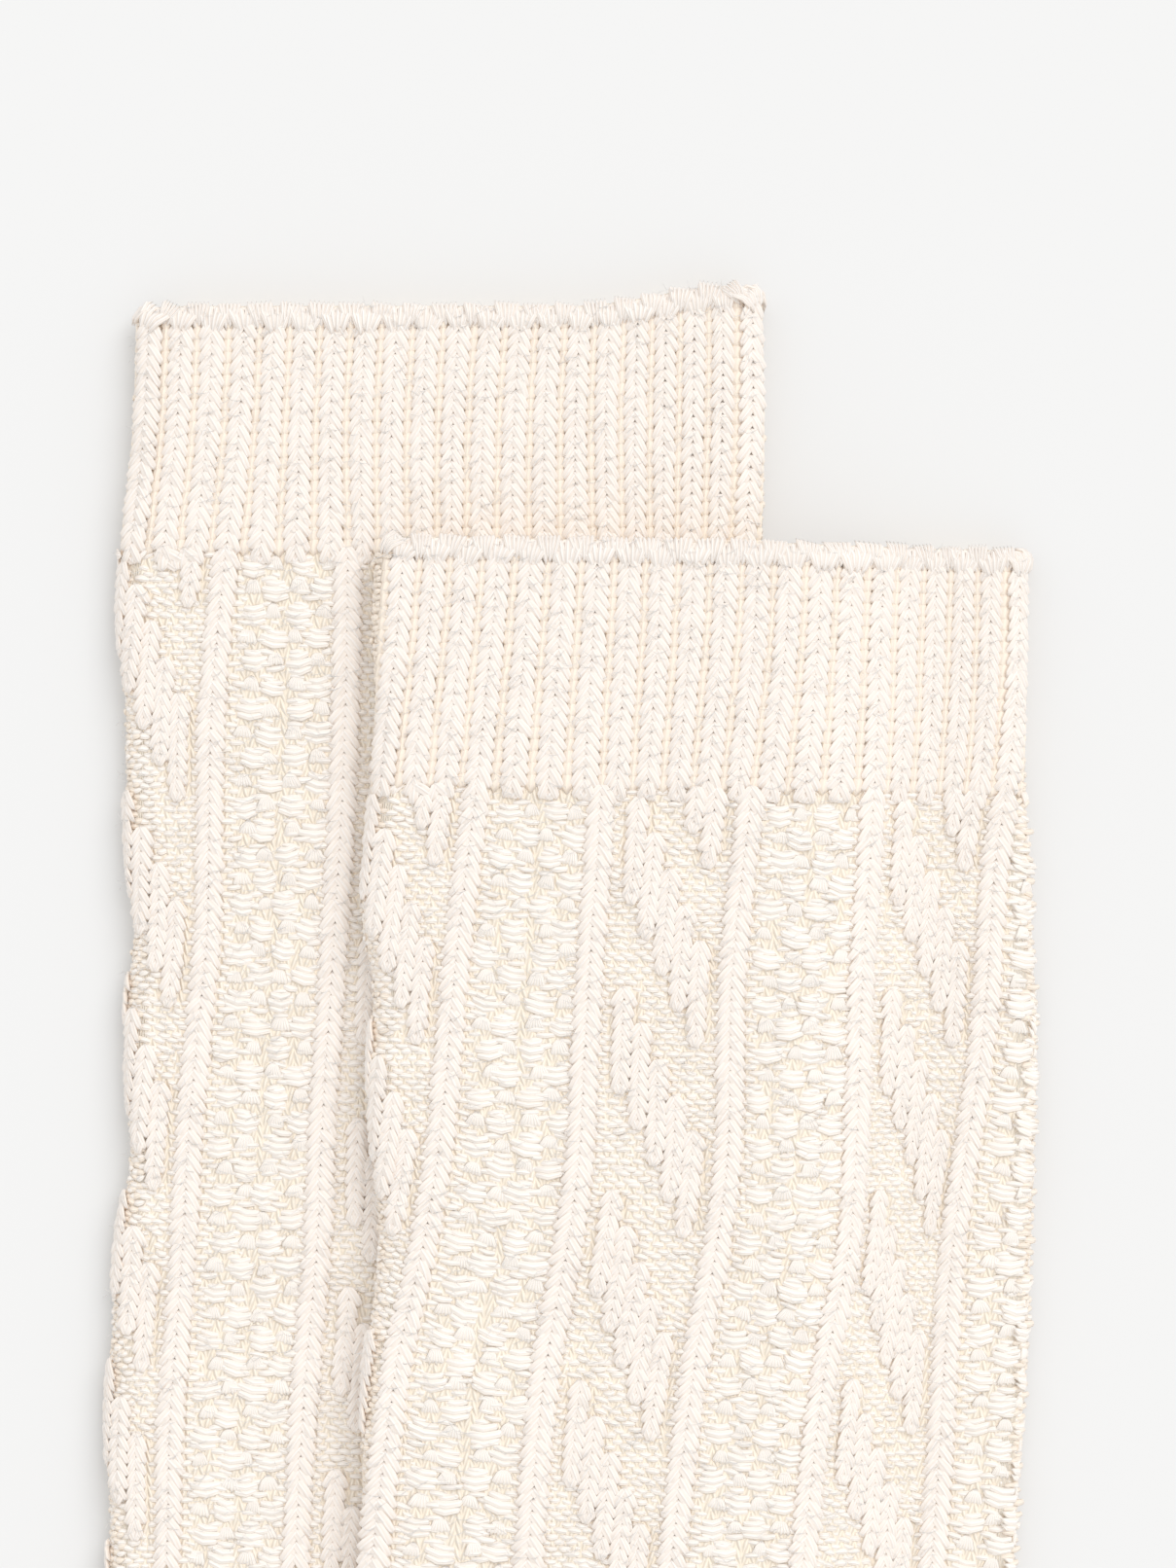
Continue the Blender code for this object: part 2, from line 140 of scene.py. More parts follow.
# The plain foot
FOOT_WALE = 2.05
FOOT_LIFT = 0.1
FOOT_DENSE = 120
FOOT_SPARE = 0.06
LEAST_UP = -0.3
LEG_TO_HEEL = 2.0
FOOT_ROW_LONG = 16.0

# The middle of the view from the under sock's corner, and the height that it shows
VIEW_X = 61.97
VIEW_Y = -65.08
VIEW_TALL = 212.8


class LegRow(NamedTuple):
    """One knitted row of the leg: how far down it is, its two edges and its five long ribs."""

    down: float
    left: float
    rib_a: float
    rib_b: float
    rib_c: float
    rib_d: float
    rib_e: float
    right: float


class FootRow(NamedTuple):
    """One row round the heel, foot or toe: its end on the instep, and on the heel or sole."""

    instep_x: float
    instep_y: float
    sole_x: float
    sole_y: float
    thick: float


class SoftFold(NamedTuple):
    """A soft trough in the upper face: its middle, its turn in degrees and its size."""

    x: float
    y: float
    turn: float
    half_long: float
    half_wide: float
    deep: float


# The rows that both socks are drawn from
UNDER_LEG = (
    LegRow(0.0, 0.4, 15.3, 29.8, 50.9, 65.0, 84.2, 85.2),
    LegRow(16.8, 0.0, 14.5, 29.0, 49.8, 64.4, 84.2, 85.8),
    LegRow(33.7, -1.7, 12.7, 29.3, 49.4, 64.9, 83.2, 85.8),
    LegRow(43.2, -2.0, 11.7, 29.2, 49.1, 65.6, 82.4, 86.0),
    LegRow(54.3, -1.2, 10.8, 29.0, 48.8, 65.8, 81.6, 86.4),
    LegRow(75.4, -0.8, 10.4, 28.1, 47.9, 64.9, 80.3, 86.6),
    LegRow(84.9, 0.0, 10.2, 27.5, 47.3, 64.3, 79.6, 86.4),
    LegRow(95.0, -0.9, 9.3, 26.9, 46.5, 63.5, 78.8, 86.0),
    LegRow(108.5, -0.7, 8.0, 26.0, 45.6, 62.6, 77.9, 85.7),
    LegRow(117.0, -0.5, 7.4, 25.6, 45.2, 62.2, 77.5, 85.5),
    LegRow(125.4, -2.0, 7.0, 25.3, 44.9, 61.9, 77.2, 85.3),
    LegRow(142.0, -3.2, 5.8, 23.9, 43.5, 60.5, 75.8, 84.8),
    LegRow(154.2, -3.6, 5.0, 23.0, 42.6, 59.6, 74.9, 84.3),
    LegRow(166.3, -3.2, 4.8, 22.4, 42.0, 59.0, 74.3, 84.2),
    LegRow(174.0, -3.6, 4.5, 22.0, 41.6, 58.6, 74.0, 84.8),
)

OVER_LEG = (
    LegRow(0.0, 0.9, 17.6, 33.1, 54.6, 69.7, 88.1, 89.0),
    LegRow(12.8, 0.4, 16.6, 32.5, 54.0, 69.0, 88.0, 89.0),
    LegRow(24.7, 0.9, 15.4, 31.8, 52.7, 68.6, 87.3, 89.0),
    LegRow(34.6, 0.4, 14.4, 31.3, 51.5, 68.0, 86.2, 89.2),
    LegRow(43.4, -0.4, 13.3, 30.8, 50.4, 67.5, 84.9, 89.8),
    LegRow(51.9, -0.9, 12.3, 30.1, 49.5, 66.9, 84.3, 90.0),
    LegRow(60.3, 0.5, 11.4, 29.6, 48.8, 66.4, 83.8, 90.3),
    LegRow(70.4, 0.1, 10.6, 29.0, 48.6, 66.1, 82.8, 90.6),
    LegRow(82.6, 0.5, 9.4, 28.4, 48.3, 65.6, 81.0, 90.3),
    LegRow(94.4, 1.2, 7.5, 26.9, 46.9, 64.8, 79.3, 89.9),
    LegRow(111.8, -0.4, 3.7, 23.8, 43.8, 61.4, 78.0, 89.2),
    LegRow(121.6, -0.8, 2.4, 22.7, 42.5, 60.1, 77.5, 88.6),
    LegRow(133.2, -0.9, 1.1, 21.8, 41.2, 58.9, 76.7, 88.0),
    LegRow(155.0, -2.2, -1.0, 19.6, 39.0, 56.6, 75.0, 86.6),
    LegRow(174.0, -3.6, -2.6, 18.0, 37.4, 55.0, 73.4, 85.2),
)

FOOT = (
    FootRow(-3.6, -174.0, 85.0, -174.0, 5.6),
    FootRow(-5.5, -179.0, 88.0, -198.0, 5.6),
    FootRow(-9.5, -182.5, 89.0, -219.0, 5.6),
    FootRow(-15.0, -185.0, 84.0, -240.0, 5.6),
    FootRow(-22.0, -186.5, 73.0, -256.0, 5.5),
    FootRow(-31.0, -187.5, 56.0, -266.0, 5.4),
    FootRow(-43.0, -188.5, 34.0, -270.0, 5.3),
    FootRow(-58.0, -190.0, 6.0, -271.0, 5.2),
    FootRow(-75.0, -192.0, -25.0, -271.5, 5.2),
    FootRow(-92.0, -195.0, -56.0, -272.0, 5.2),
    FootRow(-108.0, -200.0, -86.0, -272.0, 5.2),
    FootRow(-122.0, -207.0, -110.0, -269.0, 5.1),
    FootRow(-133.0, -217.0, -128.0, -261.0, 5.0),
    FootRow(-140.0, -227.0, -139.0, -250.5, 4.6),
    FootRow(-143.5, -235.0, -143.5, -242.5, TOE_THICK),
)

UNDER_FOLDS = (
    SoftFold(12.0, -137.0, -8.0, 34.0, 9.0, 0.9),
    SoftFold(52.0, -58.0, 12.0, 24.0, 8.0, 0.5),
    SoftFold(30.0, -205.0, -38.0, 34.0, 7.0, 0.9),
    SoftFold(-62.0, -232.0, 72.0, 30.0, 8.0, 0.6),
)

OVER_FOLDS = (
    SoftFold(24.0, -107.0, -6.0, 34.0, 9.0, 0.9),
    SoftFold(66.0, -128.0, 10.0, 22.0, 8.0, 0.5),
    SoftFold(34.0, -204.0, -34.0, 36.0, 7.0, 0.9),
    SoftFold(-58.0, -234.0, 66.0, 28.0, 8.0, 0.6),
)


class Stitch(Enum):
    """The kinds of stitch that the two socks are knitted from."""

    RIB = "rib"
    CABLE = "cable"
    MOSS_KNIT = "moss_knit"
    MOSS_BUMP = "moss_bump"
    PURL = "purl"
    PLAIN = "plain"
    LIP = "lip"
    GROOVE = "groove"
    TIP = "tip"
    FUZZ = "fuzz"


class Layer(NamedTuple):
    """One layer of stitches on the cuff or leg, and how they sit.

    They stand off the face by lift. Drawn is the wale's width that the stitch was drawn for, and
    a stitch is left out where it faces up less than least_up, which runs from -1 to 1.
    """

    part: str
    kind: Stitch
    lift: float
    drawn: float
    least_up: float = LEAST_UP


CUFF_RIBS = Layer("cuff_ribs", Stitch.RIB, 0.3, 2.08, 0.3)
CUFF_TIPS = Layer("cuff_tips", Stitch.TIP, 0.0, 2.08, 0.3)
CUFF_GROOVES = Layer("cuff_grooves", Stitch.GROOVE, -0.02, 1.8)
CUFF_LIP = Layer("cuff_lip", Stitch.LIP, 0.15, 2.08)
SIDES = Layer("sides", Stitch.PURL, -0.1, 2.0)
FUZZ = Layer("fuzz", Stitch.FUZZ, 0.55, 2.08, 0.3)
LEG_RIBS = Layer("long_ribs", Stitch.RIB, 0.3, 1.95)
CABLE_COLUMNS = Layer("cable_columns", Stitch.CABLE, 0.32, 1.95, 0.0)
CABLE_TIPS = Layer("cable_tips", Stitch.TIP, 0.2, 1.95, 0.2)
PURL_GROUND = Layer("purl_ground", Stitch.PURL, -0.12, 1.95)
MOSS_KNITS = Layer("moss_knit", Stitch.MOSS_KNIT, -0.14, 1.95, 0.0)
MOSS_BUMPS = Layer("moss_bumps", Stitch.MOSS_BUMP, 0.08, 1.95, 0.0)


def smoothstep(value: Array | float) -> Array:
    """A soft step from 0 to 1 as the value goes from 0 to 1.

    Args:
        value: Numbers, which are held between 0 and 1.

    Returns:
        The eased numbers.
    """
    held = np.clip(value, 0.0, 1.0)
    return held * held * (3.0 - 2.0 * held)


def curve_through(stations: Array, values: Array, at: Array) -> Array:
    """Reads smooth curves through table rows, with slopes taken from the neighbours.

    Args:
        stations: Where the rows stand, rising.
        values: One row of values for each station.
        at: The places to read.

    Returns:
        One row of values for each place.
    """
    slopes = np.gradient(values, stations, axis=0)
    i = np.clip(np.searchsorted(stations, at) - 1, 0, len(stations) - 2)
    span = (stations[i + 1] - stations[i])[:, None]
    t = (at - stations[i])[:, None] / span
    low = (1.0 + 2.0 * t) * (1.0 - t) ** 2 * values[i] + t * (1.0 - t) ** 2 * span * slopes[i]
    high = t * t * (3.0 - 2.0 * t) * values[i + 1] - t * t * (1.0 - t) * span * slopes[i + 1]
    return low + high


def distance_outside(places: Array, outline: Array) -> Array:
    """How far places lie outside a closed outline.

    Args:
        places: Points in the plane.
        outline: The outline's points in order.

    Returns:
        The distance of each place, which is below 0 within the outline.
    """
    ends = np.roll(outline, -1, axis=0)
    nearest = np.full(len(places), np.inf)
    crossings = np.zeros(len(places), int)
    for start, end in zip(outline, ends):
        run = end - start
        share = np.clip((places - start) @ run / max(float(run @ run), 1e-12), 0.0, 1.0)
        reach = np.linalg.norm(places - (start + share[:, None] * run), axis=1)
        nearest = np.minimum(nearest, reach)
        spans = (start[1] > places[:, 1]) != (end[1] > places[:, 1])
        rise = run[1] if run[1] != 0.0 else 1e-12
        meets = start[0] + (places[:, 1] - start[1]) * run[0] / rise
        crossings += spans & (places[:, 0] < meets)
    return np.where(crossings % 2 == 1, -nearest, nearest)


def unit(vectors: Array) -> Array:
    """Rows of vectors, each made one long.

    Args:
        vectors: One vector to a row.

    Returns:
        The same directions.
    """
    return vectors / np.maximum(np.linalg.norm(vectors, axis=1, keepdims=True), 1e-9)


class Seat(NamedTuple):
    """Where stitches sit: their middles, and which way is across, up the wale and outwards."""

    place: Array
    across: Array
    upward: Array
    outward: Array
    wide: Array


@dataclass
class SockForm:
    """The outer form of one sock, as its solid has it, read at any needle and any distance down.

    The flat place runs over the upper face from the front edge to the back edge. Before 0 and past
    the far edge it turns round the folded side, so knit keeps its pitch all the way round.
    """

    corner: tuple[float, float]
    leg: tuple[LegRow, ...]
    folds: tuple[SoftFold, ...]
    right_drop: float
    corner_lift: float
    outline_below: Array | None = None
    origin: Array = field(default_factory=lambda: np.zeros(2))

    def outline(self) -> Array:
        """The sock's outline in its own pair's places, down the front edge and up the back.

        Returns:
            The outline's points in order, before the pair is moved into the frame.
        """
        downs = np.linspace(0.0, LEG_END, 30)
        rows = self.leg_rows(downs)
        front, back = self.leg_edges(downs, rows)
        feet = self.foot_rows(np.arange((len(FOOT) - 1) * 2 + 1) / 2.0)
        fronts = np.concatenate([front, feet[:, 0:2]])
        backs = np.concatenate([back, feet[:, 2:4]])
        return np.concatenate([fronts, backs[::-1]]) + np.array(self.corner)

    def leg_rows(self, downs: Array) -> Array:
        """The leg's edges and ribs at these distances down, one row each.

        Args:
            downs: The distances down.

        Returns:
            The columns of the leg's table after the first.
        """
        table = np.array(self.leg)
        return curve_through(table[:, 0], table[:, 1:], downs)

    def foot_rows(self, steps: Array) -> Array:
        """The foot's rows at these places in its table.

        Args:
            steps: The places, which may be fractions.

        Returns:
            The rows.
        """
        return curve_through(np.arange(len(FOOT), dtype=float), np.array(FOOT), steps)

    def leg_edges(self, downs: Array, rows: Array) -> tuple[Array, Array]:
        """The front and back edge points of leg rows, which drop to the right near the cuff.

        Args:
            downs: How far down each row is.
            rows: The leg's rows there.

        Returns:
            The front points and the back points.
        """
        drop = self.right_drop * (1.0 - downs / LEG_END)
        return np.stack([rows[:, 0], -downs], 1), np.stack([rows[:, -1], -downs - drop], 1)

    def flat_of_needle(self, needle: Array, downs: Array, rows: Array) -> Array:
        """Flat places of needles, from the places of the long ribs.

        Args:
            needle: The needles, which may be fractions.
            downs: How far down each one is read.
            rows: The leg's rows there.

        Returns:
            The distance from the front edge, measured over the upper face.
        """
        in_leg = smoothstep((downs - CUFF_DEEP) / COURSE)
        left = CUFF_PITCH + (CABLE_PITCH - CUFF_PITCH) * in_leg
        right = CUFF_PITCH + (SEED_PITCH - CUFF_PITCH) * in_leg
        knots = np.array([LONG_RIBS[0] - SPARE_NEEDLES, *LONG_RIBS, LONG_RIBS[-1] + SPARE_NEEDLES])
        before = rows[:, 1] - SPARE_NEEDLES * left
        after = rows[:, 5] + SPARE_NEEDLES * right
        places = np.concatenate([before[:, None], rows[:, 1:6], after[:, None]], axis=1)
        i = np.clip(np.searchsorted(knots, needle, side="right") - 1, 0, len(knots) - 2)
        t = (needle - knots[i]) / (knots[i + 1] - knots[i])
        all_rows = np.arange(len(needle))
        read = places[all_rows, i] * (1.0 - t) + places[all_rows, i + 1] * t
        return read - rows[:, 0]

    def section(self, front: Array, back: Array, thick: Array, flat: Array, lift: Array) -> Array:
        """Points on the flattened sections between pairs of edges.

        Args:
            front: The front edge of each section.
            back: The back edge of each section.
            thick: Its thickness.
            flat: The flat place of each point.
            lift: How far each point stands off the face.

        Returns:
            Points before folds and drape are applied.
        """
        run = back - front
        wide = np.linalg.norm(run, axis=1)
        radius = thick / 2.0
        low_side = flat < wide / 2.0
        past = radius - np.where(low_side, flat, wide - flat)
        turn = np.clip(past / radius, 0.0, np.pi)
        under = np.maximum(past - np.pi * radius, 0.0)
        near = np.where(past > 0.0, radius - radius * np.sin(turn) + under, radius - past)
        near = near - lift * np.sin(turn)
        along = np.where(low_side, near, wide - near)
        crown = CROWN * (1.0 - (2.0 * along / wide - 1.0) ** 2) * np.minimum(1.0, thick / LEG_THICK)
        upper = 0.5 + 0.5 * np.cos(turn)
        high = radius + (radius + lift) * np.cos(turn) + np.maximum(crown, 0.0) * upper
        place = front + run / wide[:, None] * along[:, None]
        return np.concatenate([place, high[:, None]], axis=1)

    def settled(self, points: Array) -> Array:
        """Points with the soft folds, the pulled corner and the drape applied, in the frame.

        Args:
            points: Points on the flattened sections.

        Returns:
            The same points where the sock lies.
        """
        points = points.copy()
        depth = np.zeros(len(points))
        for fold in self.folds:
            turn = math.radians(fold.turn)
            along = np.array((math.cos(turn), math.sin(turn)))
            aside = np.array((-math.sin(turn), math.cos(turn)))
            from_middle = points[:, :2] - np.array((fold.x, fold.y))
            reach = (from_middle @ along / fold.half_long) ** 2
            reach = reach + (from_middle @ aside / fold.half_wide) ** 2
            depth = depth + fold.deep * np.exp(-1.5 * reach)
        points[:, 2] -= np.clip(points[:, 2] / LEG_THICK, 0.0, 1.0) * depth
        above = np.clip(1.0 + points[:, 1] / CORNER_ROUND, 0.0, 1.0)
        inset = CORNER_ROUND * (1.0 - np.sqrt(1.0 - above * above))
        left, right = self.leg[0].left, self.leg[0].right
        points[:, 0] += inset * smoothstep(1.0 - (points[:, 0] - left) / CORNER_REACH)
        points[:, 0] -= inset * smoothstep(1.0 - (right - points[:, 0]) / CORNER_REACH)
        to_right = smoothstep((points[:, 0] - CORNER_FROM) / CORNER_WIDE)
        points[:, 1] += self.corner_lift * to_right * smoothstep(1.0 + points[:, 1] / CUFF_DEEP)
        points[:, :2] += np.array(self.corner)
        if self.outline_below is not None:
            outside = distance_outside(points[:, :2], self.outline_below)
            to_foot = smoothstep((-points[:, 1] - LEG_END) / LAY_BLEND)
            top = LAY_ON_LEG + (LAY_ON_FOOT - LAY_ON_LEG) * to_foot
            fall = smoothstep((outside - DRAPE_LEDGE) / (DRAPE_REACH - DRAPE_LEDGE))
            points[:, 2] += top * (1.0 - fall)
        points[:, :2] += self.origin
        return points

    def on_leg(self, flat: Array, downs: Array, lift: Array | float = 0.0) -> Array:
        """Points of the cuff or leg at these flat places and distances down.

        Args:
            flat: Flat places, measured from the front edge.
            downs: The distance down of each.
            lift: How far each point stands off the face.

        Returns:
            The points in the frame.
        """
        rows = self.leg_rows(downs)
        front, back = self.leg_edges(downs, rows)
        thick = np.full(len(downs), LEG_THICK)
        lift = np.broadcast_to(np.asarray(lift, float), downs.shape)
        return self.settled(self.section(front, back, thick, flat, lift))

    def on_foot(self, share: Array, steps: Array, lift: Array | float = 0.0) -> Array:
        """Points of the foot, by the share of the way across and the place in its table.

        Args:
            share: The share of the way across of each point.
            steps: Its place in the foot's table.
            lift: How far it stands off the face.

        Returns:
            The points in the frame.
        """
        rows = self.foot_rows(steps)
        wide = np.linalg.norm(rows[:, 2:4] - rows[:, 0:2], axis=1)
        lift = np.broadcast_to(np.asarray(lift, float), steps.shape)
        flat = share * wide
        return self.settled(self.section(rows[:, 0:2], rows[:, 2:4], rows[:, 4], flat, lift))

    def foot_wale(self, wale: Array, steps: Array) -> Array:
        """The share across of foot wales, which keep their pitch in the toe and end at its edges.

        Args:
            wale: Each wale's share across the foot, before the toe.
            steps: Where it is read in the foot's table.

        Returns:
            The share across there, outside 0 to 1 where the wale has ended.
        """
        rows = self.foot_rows(np.maximum(steps, TOE_FROM))
        wide = np.linalg.norm(rows[:, 2:4] - rows[:, 0:2], axis=1)
        full = self.foot_rows(np.array([TOE_FROM]))[0]
        return 0.5 + (wale - 0.5) * math.dist(full[0:2], full[2:4]) / wide

    def side_needle(self, downs: Array, out: float, right: bool) -> Array:
        """The needle that lies this far past the fold of the left or the right edge.

        Args:
            downs: How far down it is read.
            out: How far past the edge, measured over the face.
            right: Whether it is the right edge.

        Returns:
            The needles, as fractions.
        """
        rows = self.leg_rows(downs)
        in_leg = smoothstep((downs - CUFF_DEEP) / COURSE)
        if right:
            pitch = CUFF_PITCH + (SEED_PITCH - CUFF_PITCH) * in_leg
            return LONG_RIBS[-1] + (rows[:, 6] + out - rows[:, 5]) / pitch
        pitch = CUFF_PITCH + (CABLE_PITCH - CUFF_PITCH) * in_leg
        return LONG_RIBS[0] - (rows[:, 1] - rows[:, 0] + out) / pitch

    def leg_needle(self, needle: Array, downs: Array, lift: Array | float = 0.0) -> Array:
        """Points of the cuff or leg at these needles.

        Args:
            needle: The needles, which may be fractions.
            downs: The distance down of each.
            lift: How far each point stands off the face.

        Returns:
            The points in the frame.
        """
        flat = self.flat_of_needle(needle, downs, self.leg_rows(downs))
        return self.on_leg(flat, downs, lift)

    def leg_seats(self, needle: Array, downs: Array, lift: float) -> Seat:
        """Seats for stitches of the cuff or leg.

        Args:
            needle: Each stitch's needle.
            downs: How far down its middle is.
            lift: How far it stands off the face.

        Returns:
            The seats, with the pitch across at each one.
        """
        step = NEEDLE_STEP
        here = self.leg_needle(needle, downs, lift)
        left = self.leg_needle(needle - step, downs, lift)
        right = self.leg_needle(needle + step, downs, lift)
        above = self.leg_needle(needle, np.maximum(downs - step, 0.0), lift)
        below = self.leg_needle(needle, downs + step, lift)
        return seats_from(here, right - left, above - below, 2.0 * step)

    def foot_seats(self, share: Array, steps: Array, lift: float) -> Seat:
        """Seats for stitches of the foot, by share across and place in the table.

        Args:
            share: The share of the way across of each stitch.
            steps: Its place in the foot's table.
            lift: How far it stands off the face.

        Returns:
            The seats, with the width of a whole share at each one.
        """
        step = SHARE_STEP
        here = self.on_foot(share, steps, lift)
        left = self.on_foot(share - step, steps, lift)
        right = self.on_foot(share + step, steps, lift)
        above = self.on_foot(share, np.maximum(steps - ROW_STEP, 0.0), lift)
        below = self.on_foot(share, np.minimum(steps + ROW_STEP, len(FOOT) - 1.0), lift)
        return seats_from(here, right - left, above - below, 2.0 * step)


def seats_from(here: Array, sideways: Array, upward: Array, step: float) -> Seat:
    """Seats at points, squared up from their two directions on the face.

    Args:
        here: The points.
        sideways: A vector across the face at each.
        upward: A vector up the wale at each.
        step: How many needles or shares the sideways vector spans.

    Returns:
        The seats, with the width of one needle or share.
    """
    up = unit(upward)
    outward = unit(np.cross(sideways, up))
    across = np.cross(up, outward)
    return Seat(here, across, up, outward, np.linalg.norm(sideways, axis=1) / step)


def quaternions(seat: Seat) -> Array:
    """The turn of each seat as w, x, y, z.

    Args:
        seat: Seats whose three directions are square to each other.

    Returns:
        One unit quaternion for each seat.
    """
    m = np.stack([seat.across, seat.upward, seat.outward], axis=2)
    trace = m[:, 0, 0] + m[:, 1, 1] + m[:, 2, 2]
    picks = np.stack([trace, m[:, 0, 0], m[:, 1, 1], m[:, 2, 2]], axis=1)
    best = np.argmax(picks, axis=1)
    out = np.empty((len(m), 4))
    w = best == 0
    out[w] = np.stack(
        [
            1.0 + trace[w],
            m[w, 2, 1] - m[w, 1, 2],
            m[w, 0, 2] - m[w, 2, 0],
            m[w, 1, 0] - m[w, 0, 1],
        ],
        axis=1,
    )
    for axis in range(3):
        a, b, c = axis, (axis + 1) % 3, (axis + 2) % 3
        s = best == axis + 1
        row = np.empty((int(s.sum()), 4))
        row[:, 0] = m[s, c, b] - m[s, b, c]
        row[:, 1 + a] = 1.0 + m[s, a, a] - m[s, b, b] - m[s, c, c]
        row[:, 1 + b] = m[s, b, a] + m[s, a, b]
        row[:, 1 + c] = m[s, c, a] + m[s, a, c]
        out[s] = row
    return unit(out)


class MeshData(NamedTuple):
    """A mesh before it is made: points in millimetres, faces, and a UV pair for each corner."""

    points: list[tuple[float, float, float]]
    faces: list[tuple[int, ...]]
    corners: list[tuple[float, float]]


class Section(NamedTuple):
    """The outline of a strand: where its points lie round it, in degrees, and how far out.

    They lie closer together above than below, since the underside never shows. A strand that
    lies in the cloth may be open below.
    """

    angles: tuple[float, ...]
    reach: tuple[float, ...]
    open_below: bool = False


FOUR_SIDES = Section((0.0, 90.0, 180.0, 270.0), (1.0, 1.0, 1.0, 1.0))
THREE_SIDES = Section((0.0, 90.0, 180.0), (1.0, 1.0, 1.0))
ROUND_TOP = Section((0.0, 60.0, 120.0, 180.0), (1.0, 1.0, 1.0, 1.0), open_below=True)
FIVE_SIDES = Section((0.0, 60.0, 120.0, 180.0, 270.0), (1.0, 1.0, 1.0, 1.0, 1.0))
THREE_PLIES = Section(
    (0.0, 30.0, 60.0, 90.0, 120.0, 150.0, 180.0, 270.0),
    (1.0, 1.08, 0.62, 1.02, 0.62, 1.08, 1.0, 0.8),
)


@dataclass(frozen=True)
class Strand:
    """One short length of yarn: rings along a path, closed to a tip at both ends."""

    path: tuple[tuple[float, float, float], ...]
    radii: tuple[float, ...]
    section: Section
    squash: float = 0.85

    def add_to(self, mesh: MeshData) -> None:
        """Adds the strand to a mesh. The first and last places of the path are its tips.

        Args:
            mesh: The mesh that gets its points, faces and UV.
        """
        path = np.array(self.path)
        run = unit(np.gradient(path, axis=0))
        side = unit(np.cross(run, np.array([[0.0, 0.0, 1.0]])))
        top = np.cross(side, run)
        around = len(self.section.angles)
        base = len(mesh.points)
        mesh.points.append(tuple(path[0]))
        for i in range(1, len(path) - 1):
            for angle, reach in zip(self.section.angles, self.section.reach):
                turn = math.radians(angle)
                off = side[i] * math.cos(turn) + top[i] * math.sin(turn) * self.squash
                mesh.points.append(tuple(path[i] + self.radii[i - 1] * reach * off))
        mesh.points.append(tuple(path[-1]))
        rings = len(path) - 2
        last = base + 1 + rings * around
        shares = [angle / 360.0 for angle in self.section.angles] + [1.0]
        for j in range(around - 1 if self.section.open_below else around):
            k = (j + 1) % around
            low, high = shares[j], shares[j + 1]
            mesh.faces.append((base, base + 1 + j, base + 1 + k))
            mesh.corners.extend(((0.0, low), (1.0 / (rings + 1), low), (1.0 / (rings + 1), high)))
            for i in range(rings - 1):
                here = base + 1 + i * around
                there = here + around
                mesh.faces.append((here + j, there + j, there + k, here + k))
                near, far = (i + 1) / (rings + 1), (i + 2) / (rings + 1)
                mesh.corners.extend(((near, low), (far, low), (far, high), (near, high)))
            end = base + 1 + (rings - 1) * around
            mesh.faces.append((end + j, last, end + k))
            near = rings / (rings + 1)
            mesh.corners.extend(((near, low), (1.0, low), (near, high)))


def mesh_object(name: str, mesh: MeshData) -> bpy.types.Object:
    """An object made from mesh data, in metres, linked to the scene.

    Args:
        name: The object's name.
        mesh: Its points in millimetres, faces and corner UVs.

    Returns:
        The new object, at the origin.
    """
    data = bpy.data.meshes.new(name)
    data.from_pydata((np.array(mesh.points) * MM).tolist(), [], mesh.faces)
    layer = data.uv_layers.new(name="UVMap")
    layer.data.foreach_set("uv", np.array(mesh.corners, np.float32).ravel())
    data.polygons.foreach_set("use_smooth", np.full(len(data.polygons), True))
    data.update()
    obj = bpy.data.objects.new(name, data)
    bpy.context.scene.collection.objects.link(obj)
    return obj


def mirrored(strand: Strand) -> Strand:
    """The strand on the other side of the wale.

    Args:
        strand: The strand to mirror.

    Returns:
        The mirrored strand.
    """
    return replace(strand, path=tuple((-x, y, z) for x, y, z in strand.path))


def chevron(reach: float, rise: float, fat: float) -> list[Strand]:
    """The two legs of a knit stitch, apex up, the right one lapping over the left at the top.

    Args:
        reach: How far each leg goes to the side.
        rise: How far it goes down.
        fat: The strand's greatest radius.

    Returns:
        The right leg and the left leg.
    """
    half = rise / 2.0
    right = (
        (reach * -0.30, half * 1.12, -0.02),
        (reach * 0.06, half * 0.74, 0.16),
        (reach * 0.54, half * 0.06, 0.16),
        (reach * 0.92, -half * 0.62, -0.04),
        (reach * 1.08, -half * 1.02, -0.42),
    )
    left = (
        (reach * 0.20, half * 1.06, -0.14),
        (reach * -0.12, half * 0.70, 0.04),
        (reach * -0.54, 0.02, 0.08),
        (reach * -0.90, -half * 0.62, -0.08),
        (reach * -1.04, -half * 1.0, -0.42),
    )
    radii = (fat * 0.9, fat, fat * 0.9)
    return [Strand(path, radii, THREE_PLIES, 0.58) for path in (left, right)]


def smile(wide: float, sag: float, at: float, high: float, fat: float, aside: float = 0.0) -> Strand:
    """A short strand that lies across the wale, its ends turned down into the cloth.

    Args:
        wide: Its length across.
        sag: How far its middle hangs below its ends.
        at: How far up the stitch it lies.
        high: How high its middle stands.
        fat: Its greatest radius.
        aside: How far it lies to the right of the wale.

    Returns:
        The strand.
    """
    half = wide / 2.0
    path = (
        (aside - half, at + sag * 0.7, high - fat * 1.5),
        (aside - half * 0.66, at + sag * 0.05, high - fat * 0.35),
        (aside, at - sag * 0.3, high),
        (aside + half * 0.66, at + sag * 0.05, high - fat * 0.35),
        (aside + half, at + sag * 0.7, high - fat * 1.5),
    )
    return Strand(path, (fat * 0.86, fat, fat * 0.86), FIVE_SIDES, 0.66)


